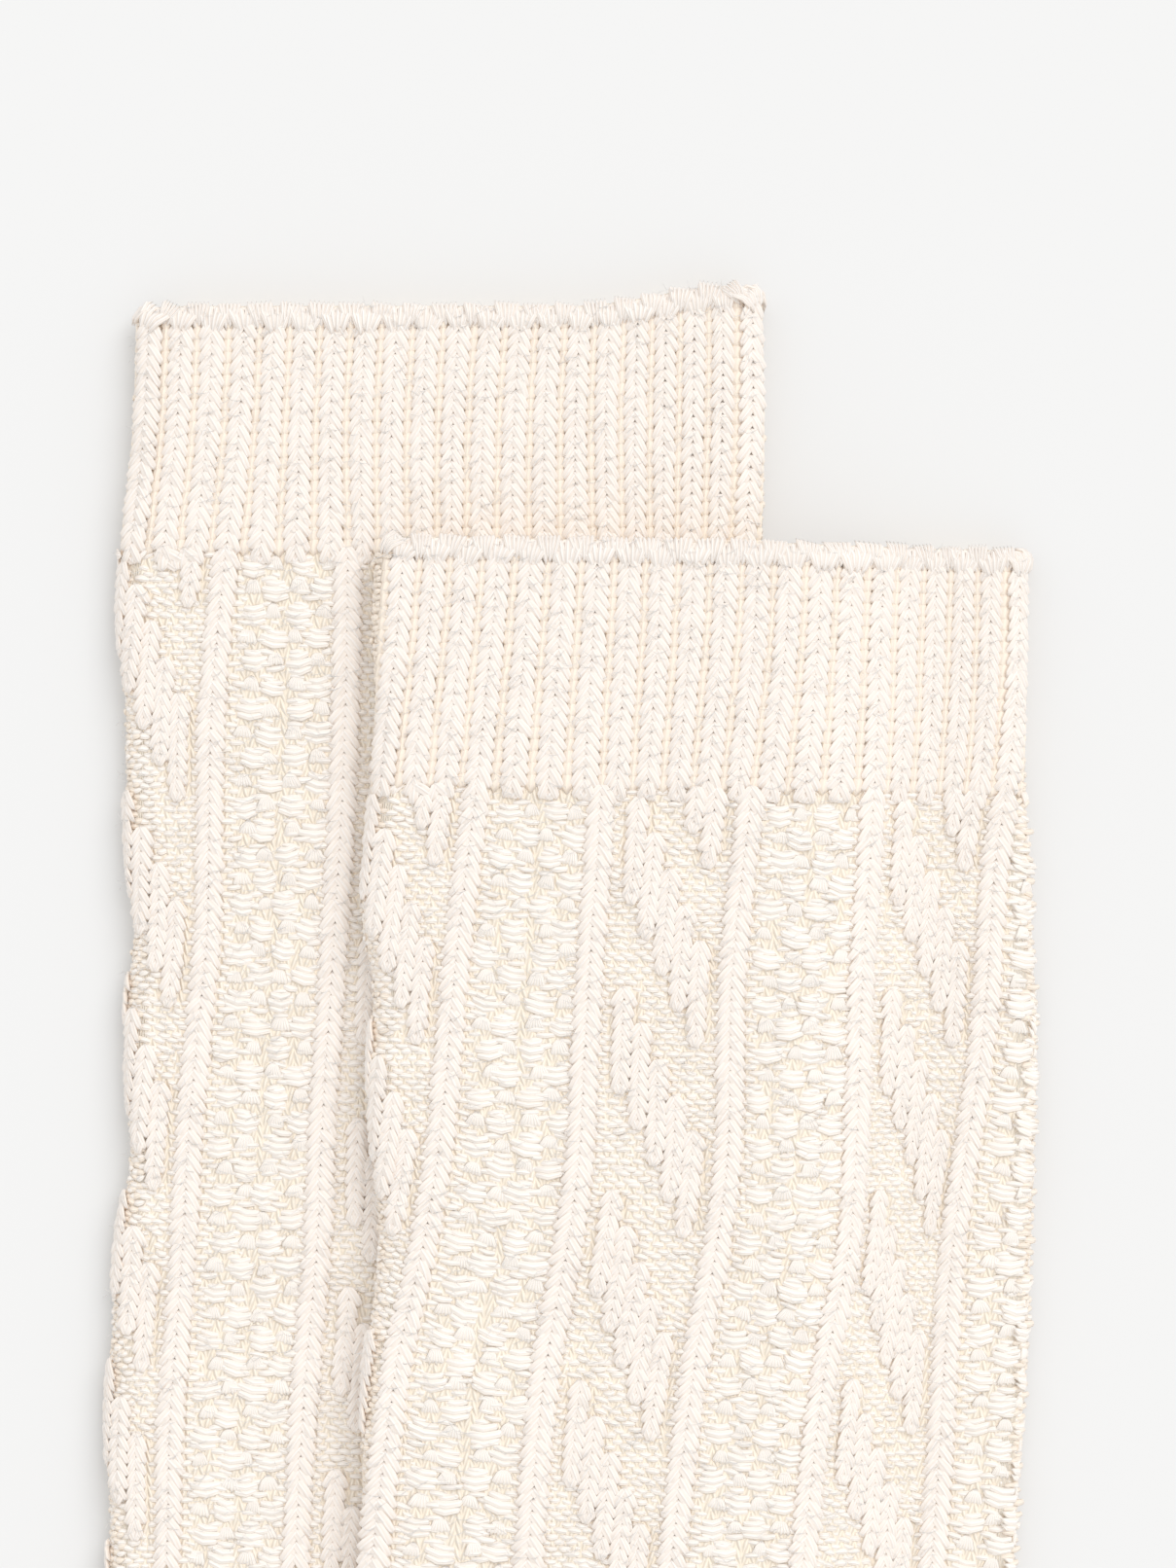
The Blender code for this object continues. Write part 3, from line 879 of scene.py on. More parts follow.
def lip_strands() -> list[Strand]:
    """The turned edge above one rib: strands that fan out and go over the rim.

    Returns:
        The strands.
    """
    strands = []
    sides = (-1.7, -1.1, -0.4, 0.35, 1.05, 1.75)
    heights = (0.1, -0.3, 0.2, -0.1, 0.3, -0.1)
    for aside, up in zip(sides, heights):
        path = (
            (aside * 0.45, -2.5 + up, -0.3),
            (aside * 0.62, -1.5 + up, 0.42),
            (aside * 0.92, -0.3 + up, 0.66),
            (aside * 1.18, 0.80, 0.10),
            (aside * 1.24, 1.40, -1.2),
        )
        strands.append(Strand(path, (0.40, 0.46, 0.44), FIVE_SIDES))
    return strands


def tuft_strands() -> list[Strand]:
    """A knit stitch of the moss: a small fan of loose plies, open at the foot.

    Returns:
        The strands.
    """
    strands = []
    feet = (-0.85, -0.54, -0.18, 0.18, 0.54, 0.88)
    lows = (-0.85, -1.15, -0.95, -1.25, -1.0, -1.1)
    for foot, low in zip(feet, lows):
        path = (
            (foot * 0.10, 1.45, -0.12),
            (foot * 0.48, 0.70, 0.14),
            (foot * 0.86, -0.35, 0.10),
            (foot * 1.05, low, -0.34),
        )
        strands.append(Strand(path, (0.30, 0.31), FOUR_SIDES, 0.8))
    return strands


def fuzz_strands() -> list[Strand]:
    """Loose fibres that stand out of the yarn and curl back over it.

    Returns:
        The strands.
    """
    pick = np.random.default_rng(FUZZ_SEED)
    strands = []
    for number in range(FUZZ_HAIRS):
        turn = 2.0 * math.pi * (number + pick.uniform()) / FUZZ_HAIRS
        reach, high = pick.uniform(1.1, 2.0), pick.uniform(0.25, 0.6)
        run = np.array((math.cos(turn), math.sin(turn))) * reach
        start, bend = pick.uniform(-0.9, 0.9, 2), pick.uniform(-0.3, 0.3, 2)
        path = tuple(
            (*(start + run * share + bend * share * share), rise)
            for share, rise in ((0.0, -0.3), (0.3, high * 0.8), (0.7, high), (1.0, high * 0.5))
        )
        strands.append(Strand(path, (0.035, 0.032), THREE_SIDES, 1.0))
    return strands


def stitch_strands(kind: Stitch) -> list[Strand]:
    """The strands of one stitch, in millimetres, at its usual width and course.

    Args:
        kind: Which stitch.

    Returns:
        Its strands, with the wale up Y and the face up Z.
    """
    if kind is Stitch.RIB:
        return chevron(1.45, 3.0, 0.68)
    if kind is Stitch.CABLE:
        return chevron(1.20, 2.8, 0.64)
    if kind is Stitch.MOSS_KNIT:
        return tuft_strands()
    if kind is Stitch.PURL:
        return [smile(2.20, -0.24, 0.42, 0.0, 0.48), smile(2.10, 0.24, -0.40, -0.04, 0.46, 0.95)]
    if kind is Stitch.MOSS_BUMP:
        return [
            smile(2.7, 0.65, 0.95, -0.12, 0.56),
            smile(3.6, 0.80, 0.06, 0.02, 0.62),
            smile(3.1, 0.90, -0.82, -0.10, 0.56),
        ]
    if kind is Stitch.LIP:
        return lip_strands()
    if kind is Stitch.FUZZ:
        return fuzz_strands()
    if kind is Stitch.TIP:
        return [
            replace(strand, path=tuple((x, -y, z) for x, y, z in reversed(strand.path)))
            for strand in chevron(0.78, 2.1, 0.72)
        ]
    if kind is Stitch.GROOVE:
        path = ((0.0, 1.9, -0.25), (0.06, 0.6, 0.0), (-0.06, -0.6, 0.04), (0.0, -1.9, -0.25))
        return [Strand(path, (0.74, 0.74), FOUR_SIDES, 0.7)]
    path = ((0.05, 1.05, -0.3), (0.40, 0.42, 0.06), (0.80, -0.58, 0.0), (0.98, -1.05, -0.4))
    right = Strand(path, (0.52, 0.56), ROUND_TOP, 0.7)
    return [right, mirrored(right)]


def stitch_mesh(kind: Stitch) -> bpy.types.Object:
    """The mesh that Geometry Nodes set on every place of one kind of stitch.

    Args:
        kind: Which stitch.

    Returns:
        The stitch as an object of its own.
    """
    mesh = MeshData([], [], [])
    for strand in stitch_strands(kind):
        strand.add_to(mesh)
    return mesh_object(f"stitch_{kind.value}", mesh)


def math_node(tree: bpy.types.NodeTree, operation: str, *values: object) -> bpy.types.NodeSocket:
    """One Math node whose inputs are sockets or numbers.

    Args:
        tree: The tree that gets the node.
        operation: What the node works out.
        values: Its inputs in order.

    Returns:
        Its result.
    """
    node = tree.nodes.new("ShaderNodeMath")
    node.operation = operation
    for i, value in enumerate(values):
        if isinstance(value, (int, float)):
            node.inputs[i].default_value = value
        else:
            tree.links.new(value, node.inputs[i])
    return node.outputs[0]


def stitch_tree() -> bpy.types.NodeTree:
    """The Geometry Nodes tree that sets a stitch on every point and makes the knit real.

    Returns:
        A tree with inputs for the stitch, its jitter in size and turn, the seed and the yarn.
    """
    tree = bpy.data.node_groups.new("knit_from_points", "GeometryNodeTree")
    face = tree.interface
    face.new_socket("Knit", in_out="OUTPUT", socket_type="NodeSocketGeometry")
    for name, kind in (
        ("Places", "Geometry"),
        ("Stitch", "Object"),
        ("Size Jitter", "Float"),
        ("Turn Jitter", "Float"),
        ("Seed", "Int"),
        ("Yarn", "Material"),
    ):
        face.new_socket(name, in_out="INPUT", socket_type=f"NodeSocket{kind}")
    nodes, links = tree.nodes, tree.links
    given = nodes.new("NodeGroupInput")
    made = nodes.new("NodeGroupOutput")

    turn = nodes.new("GeometryNodeInputNamedAttribute")
    turn.data_type = "QUATERNION"
    turn.inputs["Name"].default_value = "turn"
    size = nodes.new("GeometryNodeInputNamedAttribute")
    size.data_type = "FLOAT_VECTOR"
    size.inputs["Name"].default_value = "size"

    def spread(about: float, seed_step: int, jitter: str) -> bpy.types.NodeSocket:
        """A random vector about a value, as wide as the named input says.

        Args:
            about: The middle of each of its numbers.
            seed_step: What is added to the seed.
            jitter: The input that says how far they go to each side.

        Returns:
            The vector.
        """
        pick = nodes.new("FunctionNodeRandomValue")
        pick.data_type = "FLOAT_VECTOR"
        links.new(math_node(tree, "SUBTRACT", about, given.outputs[jitter]), pick.inputs[0])
        links.new(math_node(tree, "ADD", about, given.outputs[jitter]), pick.inputs[1])
        links.new(math_node(tree, "ADD", given.outputs["Seed"], seed_step), pick.inputs["Seed"])
        return pick.outputs[0]

    scaled = nodes.new("ShaderNodeVectorMath")
    scaled.operation = "MULTIPLY"
    links.new(size.outputs[0], scaled.inputs[0])
    links.new(spread(1.0, 1, "Size Jitter"), scaled.inputs[1])
    tilt = nodes.new("FunctionNodeEulerToRotation")
    links.new(spread(0.0, 2, "Turn Jitter"), tilt.inputs[0])
    turned = nodes.new("FunctionNodeRotateRotation")
    turned.rotation_space = "LOCAL"
    links.new(turn.outputs[0], turned.inputs[0])
    links.new(tilt.outputs[0], turned.inputs[1])

    stitch = nodes.new("GeometryNodeObjectInfo")
    links.new(given.outputs["Stitch"], stitch.inputs["Object"])
    put = nodes.new("GeometryNodeInstanceOnPoints")
    links.new(given.outputs["Places"], put.inputs["Points"])
    links.new(stitch.outputs["Geometry"], put.inputs["Instance"])
    links.new(turned.outputs[0], put.inputs["Rotation"])
    links.new(scaled.outputs[0], put.inputs["Scale"])
    tint = nodes.new("FunctionNodeRandomValue")
    tint.data_type = "FLOAT"
    links.new(given.outputs["Seed"], tint.inputs["Seed"])
    keep = nodes.new("GeometryNodeStoreNamedAttribute")
    keep.data_type = "FLOAT"
    keep.domain = "INSTANCE"
    keep.inputs["Name"].default_value = "tint"
    links.new(put.outputs["Instances"], keep.inputs["Geometry"])
    links.new(tint.outputs[1], keep.inputs["Value"])
    real = nodes.new("GeometryNodeRealizeInstances")
    links.new(keep.outputs["Geometry"], real.inputs["Geometry"])
    dressed = nodes.new("GeometryNodeSetMaterial")
    links.new(real.outputs["Geometry"], dressed.inputs["Geometry"])
    links.new(given.outputs["Yarn"], dressed.inputs["Material"])
    links.new(dressed.outputs["Geometry"], made.inputs["Knit"])
    return tree


def socket_name(tree: bpy.types.NodeTree, name: str) -> str:
    """The identifier of a tree's input, by which a modifier knows it.

    Args:
        tree: The tree.
        name: The input's name.

    Returns:
        The identifier.
    """
    return next(
        item.identifier
        for item in tree.interface.items_tree
        if item.item_type == "SOCKET" and item.in_out == "INPUT" and item.name == name
    )


def baked(obj: bpy.types.Object, name: str) -> bpy.types.Object:
    """A plain mesh object with what the object's modifiers make, in place of the object.

    Args:
        obj: An object with live modifiers.
        name: The new object's name.

    Returns:
        The plain object.
    """
    graph = bpy.context.evaluated_depsgraph_get()
    mesh = bpy.data.meshes.new_from_object(obj.evaluated_get(graph), depsgraph=graph)
    mesh.name = name
    plain = bpy.data.objects.new(name, mesh)
    bpy.context.scene.collection.objects.link(plain)
    bpy.data.objects.remove(obj)
    return plain


@dataclass
class Knitter:
    """Sets stitches on seats with the one Geometry Nodes tree."""

    tree: bpy.types.NodeTree = field(default_factory=stitch_tree)
    size_jitter: float = 0.07
    turn_jitter: float = 0.09
    loose: dict[Stitch, float] = field(
        default_factory=lambda: {
            Stitch.MOSS_KNIT: 2.0,
            Stitch.MOSS_BUMP: 2.0,
            Stitch.PURL: 2.2,
            Stitch.LIP: 1.6,
            Stitch.FUZZ: 5.0,
        }
    )
    templates: dict[Stitch, bpy.types.Object] = field(default_factory=dict)

    def template(self, kind: Stitch) -> bpy.types.Object:
        """The stitch's mesh, made the first time it is asked for.

        Args:
            kind: Which stitch.

        Returns:
            The object that holds it.
        """
        if kind not in self.templates:
            self.templates[kind] = stitch_mesh(kind)
        return self.templates[kind]

    def knit(
        self, name: str, kind: Stitch, seat: Seat, size: Array, yarn: bpy.types.Material, seed: int
    ) -> bpy.types.Object:
        """One plain mesh with a stitch on every seat, moss and purl less evenly than the ribs.

        Args:
            name: The piece's name.
            kind: Which stitch.
            seat: Where the stitches sit.
            size: The scale of each stitch in three directions.
            yarn: The yarn's material.
            seed: The seed for the small differences.

        Returns:
            The knit as a plain mesh object.
        """
        count = len(seat.place)
        mesh = bpy.data.meshes.new(name + "_places")
        mesh.from_pydata((seat.place * MM).tolist(), [], [])
        turn = mesh.attributes.new("turn", "QUATERNION", "POINT")
        turn.data.foreach_set("value", quaternions(seat).astype(np.float32).ravel())
        sizes = mesh.attributes.new("size", "FLOAT_VECTOR", "POINT")
        sizes.data.foreach_set("vector", np.broadcast_to(size, (count, 3)).astype(np.float32).ravel())
        obj = bpy.data.objects.new(name + "_places", mesh)
        bpy.context.scene.collection.objects.link(obj)
        modifier = obj.modifiers.new("knit", "NODES")
        modifier.node_group = self.tree
        loose = self.loose.get(kind, 1.0)
        for socket, value in (
            ("Stitch", self.template(kind)),
            ("Size Jitter", self.size_jitter * loose),
            ("Turn Jitter", self.turn_jitter * loose),
            ("Seed", seed),
            ("Yarn", yarn),
        ):
            modifier[socket_name(self.tree, socket)] = value
        return baked(obj, name)

    def put_away(self) -> None:
        """Removes the stitch templates, which aren't pieces."""
        for template in self.templates.values():
            bpy.data.objects.remove(template)
        self.templates.clear()


class Paint:
    """A material while its nodes are made, with short ways to make the usual ones."""

    def __init__(self, name: str, roughness: float, specular: float, sheen: float = 0.0) -> None:
        """Starts a material with its one shader.

        Args:
            name: The material's name.
            roughness: The shader's roughness.
            specular: Its specular level.
            sheen: Its sheen weight.
        """
        self.material = bpy.data.materials.new(name)
        self.material.use_nodes = True
        self.tree = self.material.node_tree
        self.shader = self.tree.nodes["Principled BSDF"]
        self.shader.inputs["Roughness"].default_value = roughness
        self.shader.inputs["Specular IOR Level"].default_value = specular
        self.shader.inputs["Sheen Weight"].default_value = sheen

    def math(self, operation: str, *values: object) -> bpy.types.NodeSocket:
        """One Math node whose inputs are sockets or numbers."""
        return math_node(self.tree, operation, *values)

    def uv(self) -> tuple[bpy.types.NodeSocket, bpy.types.NodeSocket]:
        """The two numbers of the mesh's own UV.

        Returns:
            The first number and the second.
        """
        uv = self.tree.nodes.new("ShaderNodeUVMap")
        uv.uv_map = "UVMap"
        split = self.tree.nodes.new("ShaderNodeSeparateXYZ")
        self.tree.links.new(uv.outputs[0], split.inputs[0])
        return split.outputs[0], split.outputs[1]

    def noise(self, place: bpy.types.NodeSocket, scale: float, detail: float) -> bpy.types.NodeSocket:
        """Noise read at a place.

        Args:
            place: Where it is read.
            scale: How fine it is.
            detail: How many finer layers it has.

        Returns:
            The noise, about 0.5.
        """
        noise = self.tree.nodes.new("ShaderNodeTexNoise")
        self.tree.links.new(place, noise.inputs["Vector"])
        noise.inputs["Scale"].default_value = scale
        noise.inputs["Detail"].default_value = detail
        return noise.outputs[0]

    def mixed(self, share: bpy.types.NodeSocket, near: object, far: object) -> bpy.types.NodeSocket:
        """A colour between two, each a socket or a plain colour.

        Args:
            share: How far the colour goes from the first to the second.
            near: The first colour.
            far: The second colour.

        Returns:
            The colour.
        """
        mix = self.tree.nodes.new("ShaderNodeMix")
        mix.data_type = "RGBA"
        mix.clamp_factor = True
        self.tree.links.new(share, mix.inputs["Factor"])
        for i, colour in ((MIX_NEAR, near), (MIX_FAR, far)):
            if isinstance(colour, tuple):
                mix.inputs[i].default_value = (*colour, 1.0)
            else:
                self.tree.links.new(colour, mix.inputs[i])
        return mix.outputs[MIX_RESULT]

    def colour(self, colour: bpy.types.NodeSocket) -> None:
        """Gives the shader its colour."""
        self.tree.links.new(colour, self.shader.inputs["Base Color"])

    def bump(self, high: bpy.types.NodeSocket, strength: float, deep: float) -> None:
        """Gives the shader a relief.

        Args:
            high: How high the relief stands.
            strength: How strongly it shows.
            deep: How deep it goes, in millimetres.
        """
        bump = self.tree.nodes.new("ShaderNodeBump")
        bump.inputs["Strength"].default_value = strength
        bump.inputs["Distance"].default_value = deep * MM
        self.tree.links.new(high, bump.inputs["Height"])
        self.tree.links.new(bump.outputs[0], self.shader.inputs["Normal"])


@dataclass(frozen=True)
class YarnFinish:
    """Soft combed yarn of several plies: pale on top, with painted shade down the sides of each strand
    and between its plies.
    """

    name: str = "cream_yarn"
    crest: Colour = (0.985, 0.915, 0.85)
    # Painted shade: the colour down the sides and underside of each strand
    painted_shade: Colour = (0.98, 0.79, 0.62)
    # Painted shade between the plies, also used for the fibres' own uneven tone
    shade_and_fibre_tone: Colour = (0.80, 0.66, 0.54)
    roughness: float = 0.9
    specular: float = 0.2
    sheen: float = 0.3
    sheen_roughness: float = 0.6
    plies: float = 6.0
    ply_deep: float = 0.7
    ply_painted_shade: float = 0.6
    relief: float = 0.12
    painted_shade_rise: float = 3.6
    painted_shade_power: float = 1.6
    fibre_scale: tuple[float, float, float] = (2.5, 20.0, 60.0)
    fibre_detail: float = 3.0
    fibre_gain: float = 2.6
    fibre_streak: float = 0.45
    fibre_high: float = 1.2

    def material(self) -> bpy.types.Material:
        """Builds the yarn from its own UV, which runs along and round each strand.

        Returns:
            The material.
        """
        paint = Paint(self.name, self.roughness, self.specular, self.sheen)
        paint.shader.inputs["Sheen Roughness"].default_value = self.sheen_roughness
        along, around = paint.uv()
        phase = paint.math("MULTIPLY", around, self.plies * 2.0 * math.pi)
        ply = paint.math("MULTIPLY_ADD", paint.math("COSINE", phase), -0.5, 0.5)
        # Painted shade: the colour turns darker and warmer away from the strand's top
        off_top = paint.math("ABSOLUTE", paint.math("SUBTRACT", around, TOP_OF_STRAND))
        low = paint.math("MINIMUM", paint.math("MULTIPLY", off_top, self.painted_shade_rise), 1.0)
        low = paint.math("POWER", low, self.painted_shade_power)
        noise = paint.noise(self.fibre_place(paint, along, around), 1.0, self.fibre_detail)
        # Painted shade in the dips between plies, plus the fibres' own uneven tone
        shade_and_fibre_mask = paint.math("MULTIPLY", paint.math("SUBTRACT", 1.0, ply), self.ply_painted_shade)
        rough = paint.math("MAXIMUM", paint.math("MULTIPLY_ADD", noise, self.fibre_gain, -1.0), 0.0)
        shade_and_fibre_mask = paint.math("MULTIPLY_ADD", rough, self.fibre_streak, shade_and_fibre_mask)
        paint.colour(paint.mixed(shade_and_fibre_mask, paint.mixed(low, self.crest, self.painted_shade), self.shade_and_fibre_tone))
        high = paint.math("MULTIPLY_ADD", noise, self.fibre_high, ply)
        paint.bump(high, self.ply_deep, self.relief)
        return paint.material

    def fibre_place(
        self, paint: Paint, along: bpy.types.NodeSocket, around: bpy.types.NodeSocket
    ) -> bpy.types.NodeSocket:
        """Where the fibres' noise is read: along and round the strand, and apart on each stitch.

        Args:
            paint: The material being made.
            along: How far along the strand.
            around: How far round it.

        Returns:
            The place.
        """
        own = paint.tree.nodes.new("ShaderNodeAttribute")
        own.attribute_name = "tint"
        place = paint.tree.nodes.new("ShaderNodeCombineXYZ")
        for i, value in enumerate((along, around, own.outputs["Fac"])):
            scaled = paint.math("MULTIPLY", value, self.fibre_scale[i])
            paint.tree.links.new(scaled, place.inputs[i])
        return place.outputs[0]


@dataclass(frozen=True)
class GroundFinish:
    """The cloth behind the raised stitches, in a warm colour that is painted shade for the gaps between
    them, with small knit in its bump.
    """

    name: str = "knit_ground"
    # Both colours are painted shade: warmer than the yarn, for the cloth seen between stitches
    crest: Colour = (0.99, 0.86, 0.68)
    painted_shade: Colour = (0.985, 0.80, 0.58)
    roughness: float = 0.95
    specular: float = 0.15
    sheen: float = 0.15
    slant: float = 1.6
    relief: float = 0.45
    relief_strength: float = 0.9

    def material(self) -> bpy.types.Material:
        """Builds plain knit from the UV, which counts needles across and courses down.

        Returns:
            The material.
        """
        paint = Paint(self.name, self.roughness, self.specular, self.sheen)
        needle, down = paint.uv()
        side = paint.math("SUBTRACT", paint.math("FRACT", needle), 0.5)
        side = paint.math("ABSOLUTE", side)
        course = paint.math("ADD", down, paint.math("MULTIPLY", side, self.slant))
        course = paint.math("FRACT", course)
        bulge = paint.math("SINE", paint.math("MULTIPLY", course, math.pi))
        wale = paint.math("MULTIPLY", paint.math("MULTIPLY", side, 2.0), math.pi)
        high = paint.math("MULTIPLY", bulge, paint.math("SINE", wale))
        # Painted shade: the low parts of the small knit take the darker colour
        paint.colour(paint.mixed(high, self.painted_shade, self.crest))
        paint.bump(high, self.relief_strength, self.relief)
        return paint.material


@dataclass(frozen=True)
class FloorFinish:
    """A smooth pale ground."""

    name: str = "pale_ground"
    colour: Colour = (0.70, 0.70, 0.692)
    roughness: float = 0.9
    specular: float = 0.1
    mottle: float = 0.995
    mottle_scale: float = 6.0

    def material(self) -> bpy.types.Material:
        """Builds a plain matt material with the slightest mottle.

        Returns:
            The material.
        """
        paint = Paint(self.name, self.roughness, self.specular)
        place = paint.tree.nodes.new("ShaderNodeTexCoord")
        noise = paint.noise(place.outputs["Object"], self.mottle_scale, 2.0)
        shade = tuple(c * self.mottle for c in self.colour)
        paint.colour(paint.mixed(noise, shade, self.colour))
        return paint.material


@dataclass
class SockShell:
    """The thin cloth of one sock, a closed wall with an open cuff, on the solid's form."""

    name: str
    form: SockForm
    leg_rows: int = 78
    foot_steps: int = 84
    upper_lines: int = 44
    side_lines: int = 6
    under_lines: int = 12
    inner_skip: int = 2

    def flat_places(self, wide: float, thick: float) -> Array:
        """Flat places all round one section, from under the front edge over the top and back.

        Args:
            wide: The section's width.
            thick: Its thickness.

        Returns:
            The places in order.
        """
        radius = thick / 2.0
        below = radius - math.pi * radius
        left = np.linspace(below, radius, 2 * self.side_lines, endpoint=False)
        top = np.linspace(radius, wide - radius, self.upper_lines, endpoint=False)
        right = np.linspace(wide - radius, wide - below, 2 * self.side_lines, endpoint=False)
        return np.concatenate([left, top, right])

    def ring(self, front: Array, back: Array, thick: float, sink: float) -> Array:
        """One closed ring of the wall before folds and drape.

        Args:
            front: The front edge point.
            back: The back edge point.
            thick: The section's thickness.
            sink: How far the ring lies inside the outer form.

        Returns:
            The ring's points in order.
        """
        wide = float(np.linalg.norm(back - front))
        flats = self.flat_places(wide, thick)
        count = len(flats)
        upper = self.form.section(
            np.tile(front, (count, 1)),
            np.tile(back, (count, 1)),
            np.full(count, thick),
            flats,
            np.full(count, -sink),
        )
        across = (back - front) / wide
        radius = thick / 2.0
        along = np.linspace(wide - radius, radius, self.under_lines, endpoint=False)
        under = np.concatenate(
            [front + across * along[:, None], np.full((self.under_lines, 1), sink)], axis=1
        )
        return np.concatenate([upper, under])

    def rings(self, sink: float, skip: int) -> tuple[list[Array], list[float]]:
        """The rings of one side of the wall, from the cuff to the toe, and their courses.

        Args:
            sink: How far the rings lie inside the outer form.
            skip: How many rows there are to one ring.

        Returns:
            The rings, and how many courses down each one is.
        """
        rings: list[Array] = []
        courses: list[float] = []
        downs = np.linspace(0.0, LEG_END, self.leg_rows)[::skip]
        rows = self.form.leg_rows(downs)
        fronts, backs = self.form.leg_edges(downs, rows)
        for down, front, back in zip(downs, fronts, backs):
            rings.append(self.ring(front, back, LEG_THICK, sink))
            courses.append(float(down) / COURSE)
        steps = np.linspace(0.0, len(FOOT) - 1.0, self.foot_steps)[::skip]
        for step, row in zip(steps, self.form.foot_rows(steps)):
            rings.append(self.ring(row[0:2], row[2:4], float(row[4]), sink))
            courses.append((LEG_END + LEG_TO_HEEL + float(step) * FOOT_ROW_LONG) / COURSE)
        return rings, courses

    def mesh(self) -> MeshData:
        """The whole closed wall: outside, inside, the rim at the cuff and the toe's two ends.

        Returns:
            The wall in the frame, with needles and courses as its UV.
        """
        mesh = MeshData([], [], [])
        outer, outer_courses = self.rings(SHELL_DEEP, 1)
        inner, inner_courses = self.rings(WALL, self.inner_skip)
        around = len(outer[0])
        needle = [NEEDLES * j / around for j in range(around + 1)]

        def tube(rings: list[Array], courses: list[float], outward: bool) -> int:
            """Adds rings and the faces between them.

            Args:
                rings: The rings in order.
                courses: How many courses down each one is.
                outward: Whether the faces look away from the sock's middle.

            Returns:
                The number of the first ring's first point.
            """
            base = len(mesh.points)
            for ring in rings:
                mesh.points.extend(map(tuple, ring))
            for i in range(len(rings) - 1):
                for j in range(around):
                    k = (j + 1) % around
                    face = (
                        base + i * around + j,
                        base + (i + 1) * around + j,
                        base + (i + 1) * around + k,
                        base + i * around + k,
                    )
                    uv = (
                        (needle[j], courses[i]),
                        (needle[j], courses[i + 1]),
                        (needle[j + 1], courses[i + 1]),
                        (needle[j + 1], courses[i]),
                    )
                    mesh.faces.append(face if outward else face[::-1])
                    mesh.corners.extend(uv if outward else uv[::-1])
            return base

        def fan(ring_base: int, ring: Array, course: float, outward: bool) -> None:
            """Closes the last ring to its middle.

            Args:
                ring_base: The number of the ring's first point.
                ring: The ring.
                course: How many courses down it is.
                outward: Whether the faces look away from the sock's middle.
            """
            middle = len(mesh.points)
            mesh.points.append(tuple(ring.mean(axis=0)))
            for j in range(around):
                k = (j + 1) % around
                face = (ring_base + j, middle, ring_base + k)
                uv = ((needle[j], course), (needle[j], course + 1.0), (needle[j + 1], course))
                mesh.faces.append(face if outward else face[::-1])
                mesh.corners.extend(uv if outward else uv[::-1])

        outer_base = tube(outer, outer_courses, True)
        fan(outer_base + (len(outer) - 1) * around, outer[-1], outer_courses[-1], True)
        inner_base = tube(inner, inner_courses, False)
        fan(inner_base + (len(inner) - 1) * around, inner[-1], inner_courses[-1], False)
        for j in range(around):
            k = (j + 1) % around
            mesh.faces.append((outer_base + j, outer_base + k, inner_base + k, inner_base + j))
            mesh.corners.extend(
                ((needle[j], 0.0), (needle[j + 1], 0.0), (needle[j + 1], -1.0), (needle[j], -1.0))
            )
        placed = self.form.settled(np.array(mesh.points))
        return MeshData(placed.tolist(), mesh.faces, mesh.corners)

    def build(self, finish: bpy.types.Material) -> bpy.types.Object:
        """Makes the shell and gives it its finish.

        Args:
            finish: The cloth's material.

        Returns:
            The shell.
        """
        obj = mesh_object(self.name, self.mesh())
        obj.data.materials.append(finish)
        return obj


@dataclass(frozen=True)
class LegPattern:
    """How one sock's leg pattern falls: its course, where each cable band starts, the moss."""

    course: float
    bands: tuple[int, ...]
    moss_phase: int

    def down_of(self, course: Array | float) -> Array | float:
        """How far down the middle of a course lies.

        Args:
            course: The course, which may be a fraction.

        Returns:
            The distance down.
        """
        return LEG_FROM + course * self.course

    def courses(self) -> int:
        """How many courses the patterned leg has."""
        return int((LEG_END - LEG_FROM) / self.course) + 1

    def columns(self) -> list[tuple[float, int, int]]:
        """Every cable column as its needle and its first and last course.

        Returns:
            The columns, of which those that end before they start are left out.
        """
        found = []
        for left, _ in PANEL_RIBS:
            for band in self.bands:
                for column in range(COLUMNS):
                    first = band + COLUMN_STEP * column
                    needle = left + FIRST_COLUMN + COLUMN_APART * column
                    found.append((needle, max(first, -1), min(first + COLUMN_LONG, self.courses())))
        return [column for column in found if column[1] < column[2]]


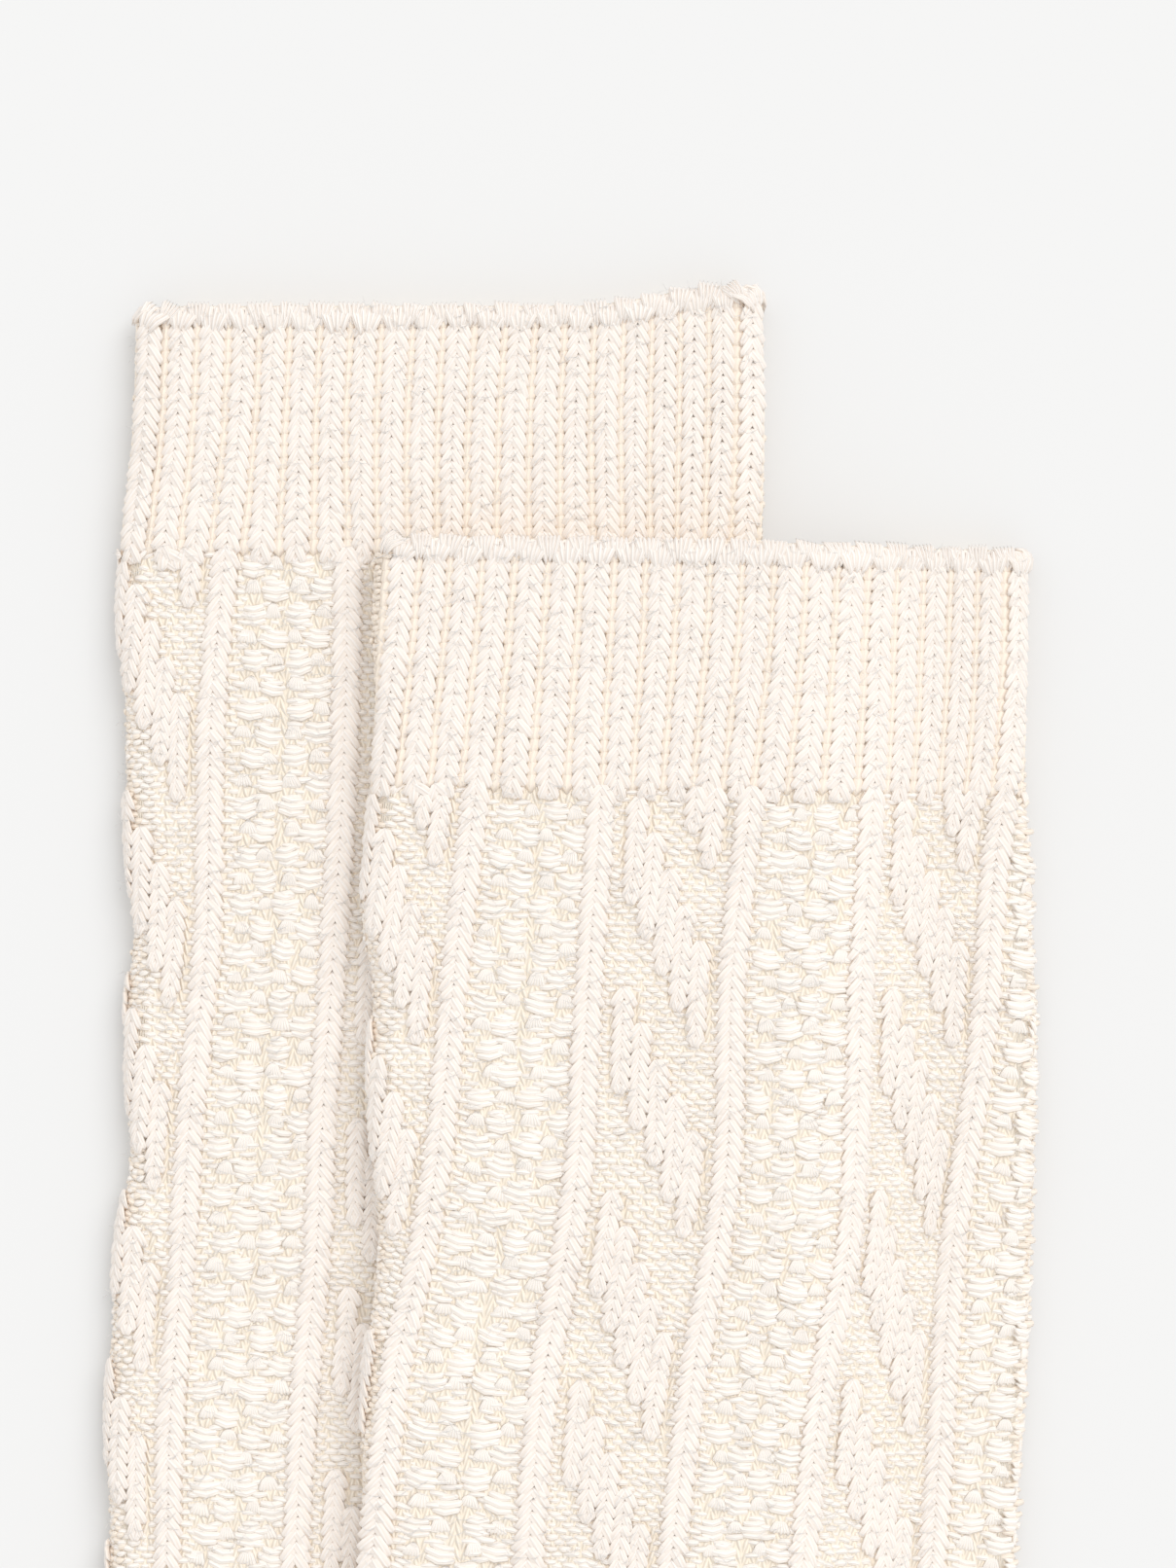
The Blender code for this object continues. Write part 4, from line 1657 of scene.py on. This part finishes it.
@dataclass
class Sock:
    """One sock: its form and all its knit."""

    name: str
    form: SockForm
    pattern: LegPattern
    seed: int
    outline_above: Array | None = None
    cuff_from: float = 3.3
    last_rib: float = 0.72
    tip_up: float = 0.8
    last_needle: float = NEEDLES / 2 - 0.3
    groove_from: float = 2.2
    wide_groove: float = 1.7
    lip_from: float = 1.35
    low_lip_from: float = 0.75
    low_lip: float = 0.7
    side_outs: tuple[float, ...] = (-0.6, 0.9, 2.4)
    side_wide: float = 0.9
    first_cable: float = 1.12
    last_cable: float = 0.8
    cable_tip_up: float = 0.55
    cable_tip: float = 0.8
    roll_radius: float = 1.05
    cover_deep: float = 6.0
    moss_uneven: float = 0.16
    fuzz_apart: float = 2.9
    foot_wales: int = 42
    pieces: list[bpy.types.Object] = field(default_factory=list)

    def shown(self, seat: Seat) -> Array:
        """Which seats the other sock leaves bare, or covers only near its edge.

        Args:
            seat: The seats.

        Returns:
            Whether each one shows.
        """
        if self.outline_above is None:
            return np.ones(len(seat.place), bool)
        places = seat.place[:, :2] - self.form.origin
        return distance_outside(places, self.outline_above) > -self.cover_deep

    def knit_leg(
        self, knitter: Knitter, layer: Layer, spots: list[Spot], tall: float, yarn: bpy.types.Material
    ) -> None:
        """Knits one layer of stitches on the cuff or leg.

        Args:
            knitter: What sets the stitches.
            layer: Which stitches, and how they sit.
            spots: The needle, the distance down, and the share of the usual width if it isn't 1.
            tall: The stitch's scale up the wale.
            yarn: The yarn's material.
        """
        table = np.array([(*spot, 1.0)[:3] for spot in spots])
        seat = self.form.leg_seats(table[:, 0], table[:, 1], layer.lift)
        faces = seat.outward[:, 2] > layer.least_up
        seat, table = Seat(*(values[faces] for values in seat)), table[faces]
        wide = seat.wide / layer.drawn * table[:, 2]
        size = np.stack([wide, np.full(len(wide), tall), np.ones(len(wide))], axis=1)
        self.knit(knitter, layer.part, layer.kind, seat, size, yarn)

    def cuff(self, knitter: Knitter, yarn: bpy.types.Material) -> None:
        """The ribbed cuff: a knit wale on every second needle, grooves between, and the turned lip.

        Args:
            knitter: What sets the stitches.
            yarn: The yarn's material.
        """
        count = int((CUFF_DEEP - self.cuff_from) / CUFF_COURSE) + 1
        needles = [*map(float, range(0, NEEDLES // 2, 2)), self.last_needle]
        between = [*map(float, range(-1, NEEDLES // 2 + 2, 2))]
        tall = CUFF_COURSE / COURSE
        spots: list[Spot] = [
            (needle, self.cuff_from + course * CUFF_COURSE, self.last_rib if course == count - 1 else 1.0)
            for needle in needles
            for course in range(count)
        ]
        self.knit_leg(knitter, CUFF_RIBS, spots, tall, yarn)
        low = self.cuff_from + (count - self.tip_up) * CUFF_COURSE
        self.knit_leg(knitter, CUFF_TIPS, [(needle, low) for needle in needles], tall, yarn)
        spots = [
            (
                needle,
                self.groove_from + course * CUFF_COURSE,
                self.wide_groove if needle == LONG_RIBS[-1] - 1 else 1.0,
            )
            for needle in between
            for course in range(count)
        ]
        # The grooves between the ribs take the copy of the yarn with painted shade
        groove = YarnFinish(f"{self.name}_groove", **PAINTED_SHADE_YARN).material()
        self.knit_leg(knitter, CUFF_GROOVES, spots, tall, groove)
        spots = [(needle, self.lip_from) for needle in needles]
        spots += [(needle, self.low_lip_from, self.low_lip) for needle in between]
        self.knit_leg(knitter, CUFF_LIP, spots, 1.0, yarn)
        self.lip_roll(yarn)

    def sides(self, knitter: Knitter) -> None:
        """Purl down both folded sides, beneath the stitches that turn round them.

        Args:
            knitter: What sets the stitches.
        """
        downs = np.arange(2.0, LEG_END + COURSE, COURSE)
        spots: list[Spot] = []
        for out in self.side_outs:
            for right in (False, True):
                needle = self.form.side_needle(downs, out, right)
                spots += [(*spot, self.side_wide) for spot in zip(needle, downs)]
        # The folded sides take the copy of the yarn with painted shade
        side = YarnFinish(f"{self.name}_side", **PAINTED_SHADE_YARN).material()
        self.knit_leg(knitter, SIDES, spots, 1.0, side)

    def fuzz(self, knitter: Knitter) -> None:
        """A thin halo of loose fibres over the cuff, its lip and the leg.

        Args:
            knitter: What sets the fibres.
        """
        pick = np.random.default_rng(self.seed)
        downs = np.arange(0.8, LEG_END, self.fuzz_apart)
        spots: list[Spot] = [
            (needle + pick.uniform(-0.5, 0.5), down + pick.uniform(-1.0, 1.0))
            for needle in np.arange(0.0, NEEDLES / 2, 2.0)
            for down in downs
        ]
        loose = YarnFinish(f"{self.name}_fibre", crest=FIBRE, painted_shade=FIBRE, shade_and_fibre_tone=FIBRE).material()
        self.knit_leg(knitter, FUZZ, spots, 1.0, loose)

    def lip_roll(self, yarn: bpy.types.Material) -> None:
        """The soft roll that the lip's strands pass over, as one tube along the rim.

        Args:
            yarn: The yarn's material.
        """
        needle = np.linspace(-1.5, NEEDLES / 2 + 1.5, 100)
        seat = self.form.leg_seats(needle, np.full(len(needle), 1.0), -0.55)
        seat = Seat(*(values[self.shown(seat)] for values in seat))
        radius = self.roll_radius * (1.0 + 0.12 * np.sin(needle[: len(seat.place)] * math.pi))
        around = np.radians(np.arange(0.0, 360.0, 45.0))
        off = seat.upward[:, None] * np.cos(around)[:, None]
        off = off + seat.outward[:, None] * np.sin(around)[:, None]
        points = seat.place[:, None] + off * radius[:, None, None]
        count, sides = points.shape[:2]
        mesh = MeshData(points.reshape(-1, 3).tolist(), [], [])
        for i in range(count - 1):
            for j in range(sides):
                k = (j + 1) % sides
                here, there = i * sides, (i + 1) * sides
                mesh.faces.append((here + j, here + k, there + k, there + j))
                near, far = i * 0.5, (i + 1) * 0.5
                low, high = j / sides, (j + 1) / sides
                mesh.corners.extend(((near, low), (near, high), (far, high), (far, low)))
        obj = mesh_object(f"{self.name}_lip_roll", mesh)
        obj.data.materials.append(yarn)
        self.pieces.append(obj)

    def leg(self, knitter: Knitter, yarn: bpy.types.Material) -> None:
        """The patterned leg: long ribs, cable columns on purl, and double moss.

        Args:
            knitter: What sets the stitches.
            yarn: The yarn's material.
        """
        pattern = self.pattern
        courses = range(-1, pattern.courses())
        tall = pattern.course / COURSE
        ribs = [(float(rib), pattern.down_of(course)) for rib in LONG_RIBS for course in courses]
        self.knit_leg(knitter, LEG_RIBS, ribs, tall, yarn)
        columns = pattern.columns()
        cables: list[Spot] = []
        for needle, first, last in columns:
            shares = [1.0] * (last - first)
            shares[-1] = self.last_cable
            shares[0] = self.first_cable
            downs = map(pattern.down_of, range(first, last))
            cables += [(needle, down, share) for down, share in zip(downs, shares)]
        self.knit_leg(knitter, CABLE_COLUMNS, cables, tall, yarn)
        tips = [
            (needle, pattern.down_of(last - self.cable_tip_up), self.cable_tip)
            for needle, _, last in columns
        ]
        self.knit_leg(knitter, CABLE_TIPS, tips, tall, yarn)
        # The purl and moss take the paler copy of the yarn: painted light
        soft = YarnFinish(f"{self.name}_soft_yarn", **PAINTED_LIGHT_YARN).material()
        self.knit_leg(knitter, PURL_GROUND, self.purl_places(columns), tall, soft)
        knits, bumps = self.moss_places()
        self.knit_leg(knitter, MOSS_KNITS, knits, tall, soft)
        self.knit_leg(knitter, MOSS_BUMPS, bumps, tall, soft)

    def purl_places(self, columns: list[tuple[float, int, int]]) -> list[Spot]:
        """Where purl shows: beside the cable columns, and between the moss's bumps and tufts.

        Args:
            columns: Every cable column's needle and its first and last course.

        Returns:
            The needle and the distance down of each stitch.
        """
        taken: dict[int, list[float]] = {}
        for needle, first, last in columns:
            for course in range(first, last):
                taken.setdefault(course, []).append(needle)
        spots: list[Spot] = []
        for left, right in PANEL_RIBS:
            for course in range(-1, self.pattern.courses()):
                for needle in range(left + 1, right):
                    near = taken.get(course, [])
                    if all(abs(needle - other) > COLUMN_CLEAR for other in near):
                        spots.append((float(needle), self.pattern.down_of(course)))
        for left, right in MOSS_RIBS:
            for course in range(0, self.pattern.courses()):
                for needle in np.linspace(left + MOSS_GAP, right - MOSS_GAP, MOSS_PURLS):
                    spots.append((float(needle), self.pattern.down_of(course)))
        return spots

    def moss_places(self) -> tuple[list[Spot], list[Spot]]:
        """Where the moss has knit tufts and where it has bumps, each two courses deep.

        Returns:
            The places of the tufts and of the bumps.
        """
        uneven = np.random.default_rng(self.seed)
        knits: list[Spot] = []
        bumps: list[Spot] = []
        for left, _ in MOSS_RIBS:
            for wale in range(MOSS_WALES):
                needle = left + FIRST_MOSS + MOSS_APART * wale
                first = self.pattern.moss_phase - MOSS_REPEAT
                for course in range(first, self.pattern.courses(), MOSS_REPEAT // 2):
                    turn = (course - self.pattern.moss_phase) // 2 + wale
                    aside, down = uneven.normal(0.0, self.moss_uneven, 2)
                    down += self.pattern.down_of(course + 0.5)
                    if down > CUFF_DEEP + 0.4:
                        (bumps if turn % 2 else knits).append((needle + aside, down))
        return knits, bumps

    def foot(self, knitter: Knitter, yarn: bpy.types.Material) -> None:
        """The plain heel, foot and toe: courses a constant way apart along every wale.

        Args:
            knitter: What sets the stitches.
            yarn: The yarn's material.
        """
        shares = []
        steps = []
        last = len(FOOT) - 1.0
        runs = ((0.0, GORE, False), (GORE, HEEL_TURNED, True), (HEEL_TURNED, last, False))
        for number in range(-2, self.foot_wales + 2):
            wale = (number + 0.5) / self.foot_wales
            for start, end, from_end in runs:
                dense = np.linspace(start, end, FOOT_DENSE)
                share = self.form.foot_wale(np.full(len(dense), wale), dense)
                points = self.form.on_foot(share, dense)
                gaps = np.linalg.norm(np.diff(points, axis=0), axis=1)
                gone = np.concatenate([[0.0], np.cumsum(gaps)])
                if from_end:
                    gone = gone[-1] - gone
                marks = np.arange(COURSE / 2.0, gone.max(), COURSE)
                order = np.argsort(gone)
                found = np.interp(marks, gone[order], dense[order])
                steps.append(found)
                shares.append(self.form.foot_wale(np.full(len(found), wale), found))
        step = np.concatenate(steps)
        share = np.concatenate(shares)
        inside = (share > -FOOT_SPARE) & (share < 1.0 + FOOT_SPARE)
        seat = self.form.foot_seats(share[inside], step[inside], FOOT_LIFT)
        seat = Seat(*(values[seat.outward[:, 2] > LEAST_UP] for values in seat))
        size = np.ones((len(seat.wide), 3))
        size[:, 0] = seat.wide / self.foot_wales / FOOT_WALE
        self.knit(knitter, "plain_foot", Stitch.PLAIN, seat, size, yarn)

    def knit(
        self,
        knitter: Knitter,
        part: str,
        kind: Stitch,
        seat: Seat,
        size: Array,
        yarn: bpy.types.Material,
    ) -> None:
        """Knits one piece on the seats that show, and keeps it.

        Args:
            knitter: What sets the stitches.
            part: The piece's name after the sock's.
            kind: Which stitch.
            seat: Where the stitches sit.
            size: The scale of each stitch in three directions.
            yarn: The yarn's material.
        """
        shown = self.shown(seat)
        seat = Seat(*(values[shown] for values in seat))
        self.seed += 10
        obj = knitter.knit(f"{self.name}_{part}", kind, seat, size[shown], yarn, self.seed)
        self.pieces.append(obj)
        triangles = sum(len(face.vertices) - 2 for face in obj.data.polygons)
        log.info("%s: %d stitches, %d triangles", obj.name, len(seat.place), triangles)


def cloth_area(shell: bpy.types.Object) -> float:
    """The area of a closed shell's outside, in square metres, as half of its whole surface.

    Args:
        shell: The shell.

    Returns:
        Its area.
    """
    return sum(face.area for face in shell.data.polygons) / 2.0


@dataclass
class Studio:
    """The pale ground, the soft light and the camera above."""

    target: Array
    lens: float = 110.0
    sensor: float = 36.0
    plane: float = 8.0
    floor_half: float = 3.0
    room_light: float = 0.83
    bounces: int = 8
    window_light: float = 1.7
    window_wide: float = 40.0
    window_turn: tuple[float, float] = (-31.0, 27.0)
    gamma: float = 1.7

    def floor(self) -> bpy.types.Object:
        """Makes the pale floor under the socks.

        Returns:
            The floor.
        """
        data = bpy.data.meshes.new("floor")
        half = self.floor_half
        corners = [(-half, -half, 0.0), (half, -half, 0.0), (half, half, 0.0), (-half, half, 0.0)]
        data.from_pydata(corners, [], [(0, 1, 2, 3)])
        floor = bpy.data.objects.new("floor", data)
        bpy.context.scene.collection.objects.link(floor)
        data.materials.append(FloorFinish().material())
        return floor

    def lights(self) -> None:
        """Strong even light all round, with one large soft source from the upper right."""
        scene = bpy.context.scene
        world = bpy.data.worlds.new("soft_room")
        scene.world = world
        world.use_nodes = True
        background = world.node_tree.nodes["Background"]
        background.inputs["Color"].default_value = (1.0, 1.0, 1.0, 1.0)
        background.inputs["Strength"].default_value = self.room_light
        scene.cycles.diffuse_bounces = self.bounces
        data = bpy.data.lights.new("window", "SUN")
        data.energy = self.window_light
        data.angle = math.radians(self.window_wide)
        lamp = bpy.data.objects.new("window", data)
        lamp.rotation_euler = (*map(math.radians, self.window_turn), 0.0)
        scene.collection.objects.link(lamp)
        scene.view_settings.view_transform = "Standard"
        scene.view_settings.gamma = self.gamma

    def camera(self) -> None:
        """A long lens straight above the middle of the photograph."""
        data = bpy.data.cameras.new("above")
        data.lens = self.lens
        data.sensor_width = self.sensor
        data.sensor_height = self.sensor
        far = VIEW_TALL * self.lens / self.sensor
        eye = bpy.data.objects.new("above", data)
        eye.location = (self.target[0] * MM, self.target[1] * MM, (self.plane + far) * MM)
        data.clip_start = 0.01
        bpy.context.scene.collection.objects.link(eye)
        bpy.context.scene.camera = eye


def main() -> None:
    """Builds the socks, the ground, the light and the camera."""
    logging.basicConfig(level=logging.INFO, format="%(name)s %(message)s", force=True)
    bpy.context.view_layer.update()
    under = SockForm((0.0, 0.0), UNDER_LEG, UNDER_FOLDS, right_drop=0.0, corner_lift=2.8)
    over = SockForm((SHIFT_X, SHIFT_Y), OVER_LEG, OVER_FOLDS, right_drop=1.6, corner_lift=0.0)
    over.outline_below = under.outline()
    low = np.array(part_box("sock_under")[0], float)[:2] / MM
    origin = low - under.outline().min(axis=0)
    under.origin = origin
    over.origin = origin
    knitter = Knitter()
    yarn = YarnFinish().material()
    ground = GroundFinish().material()
    under_pattern = LegPattern(course=1.65, bands=(-17, -1, 16, 31, 46, 60, 75), moss_phase=1)
    over_pattern = LegPattern(course=1.609, bands=(-15, 0, 16, 33, 49, 65, 81), moss_phase=2)
    socks = (
        Sock("sock_under", under, under_pattern, seed=100, outline_above=over.outline()),
        Sock("sock_over", over, over_pattern, seed=500),
    )
    for sock in socks:
        shell = SockShell(sock.name + "_cloth", sock.form).build(ground)
        sock.cuff(knitter, yarn)
        sock.leg(knitter, yarn)
        sock.sides(knitter)
        sock.fuzz(knitter)
        sock.foot(knitter, yarn)
        for piece in [shell, *sock.pieces]:
            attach(piece, BODY)
        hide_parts(sock.name)
        log.info("%s: cloth of %.4f square metres", sock.name, cloth_area(shell))
    knitter.put_away()
    studio = Studio(origin + np.array((VIEW_X, VIEW_Y)))
    floor = studio.floor()
    studio.lights()
    studio.camera()


if __name__ == "__main__":
    main()
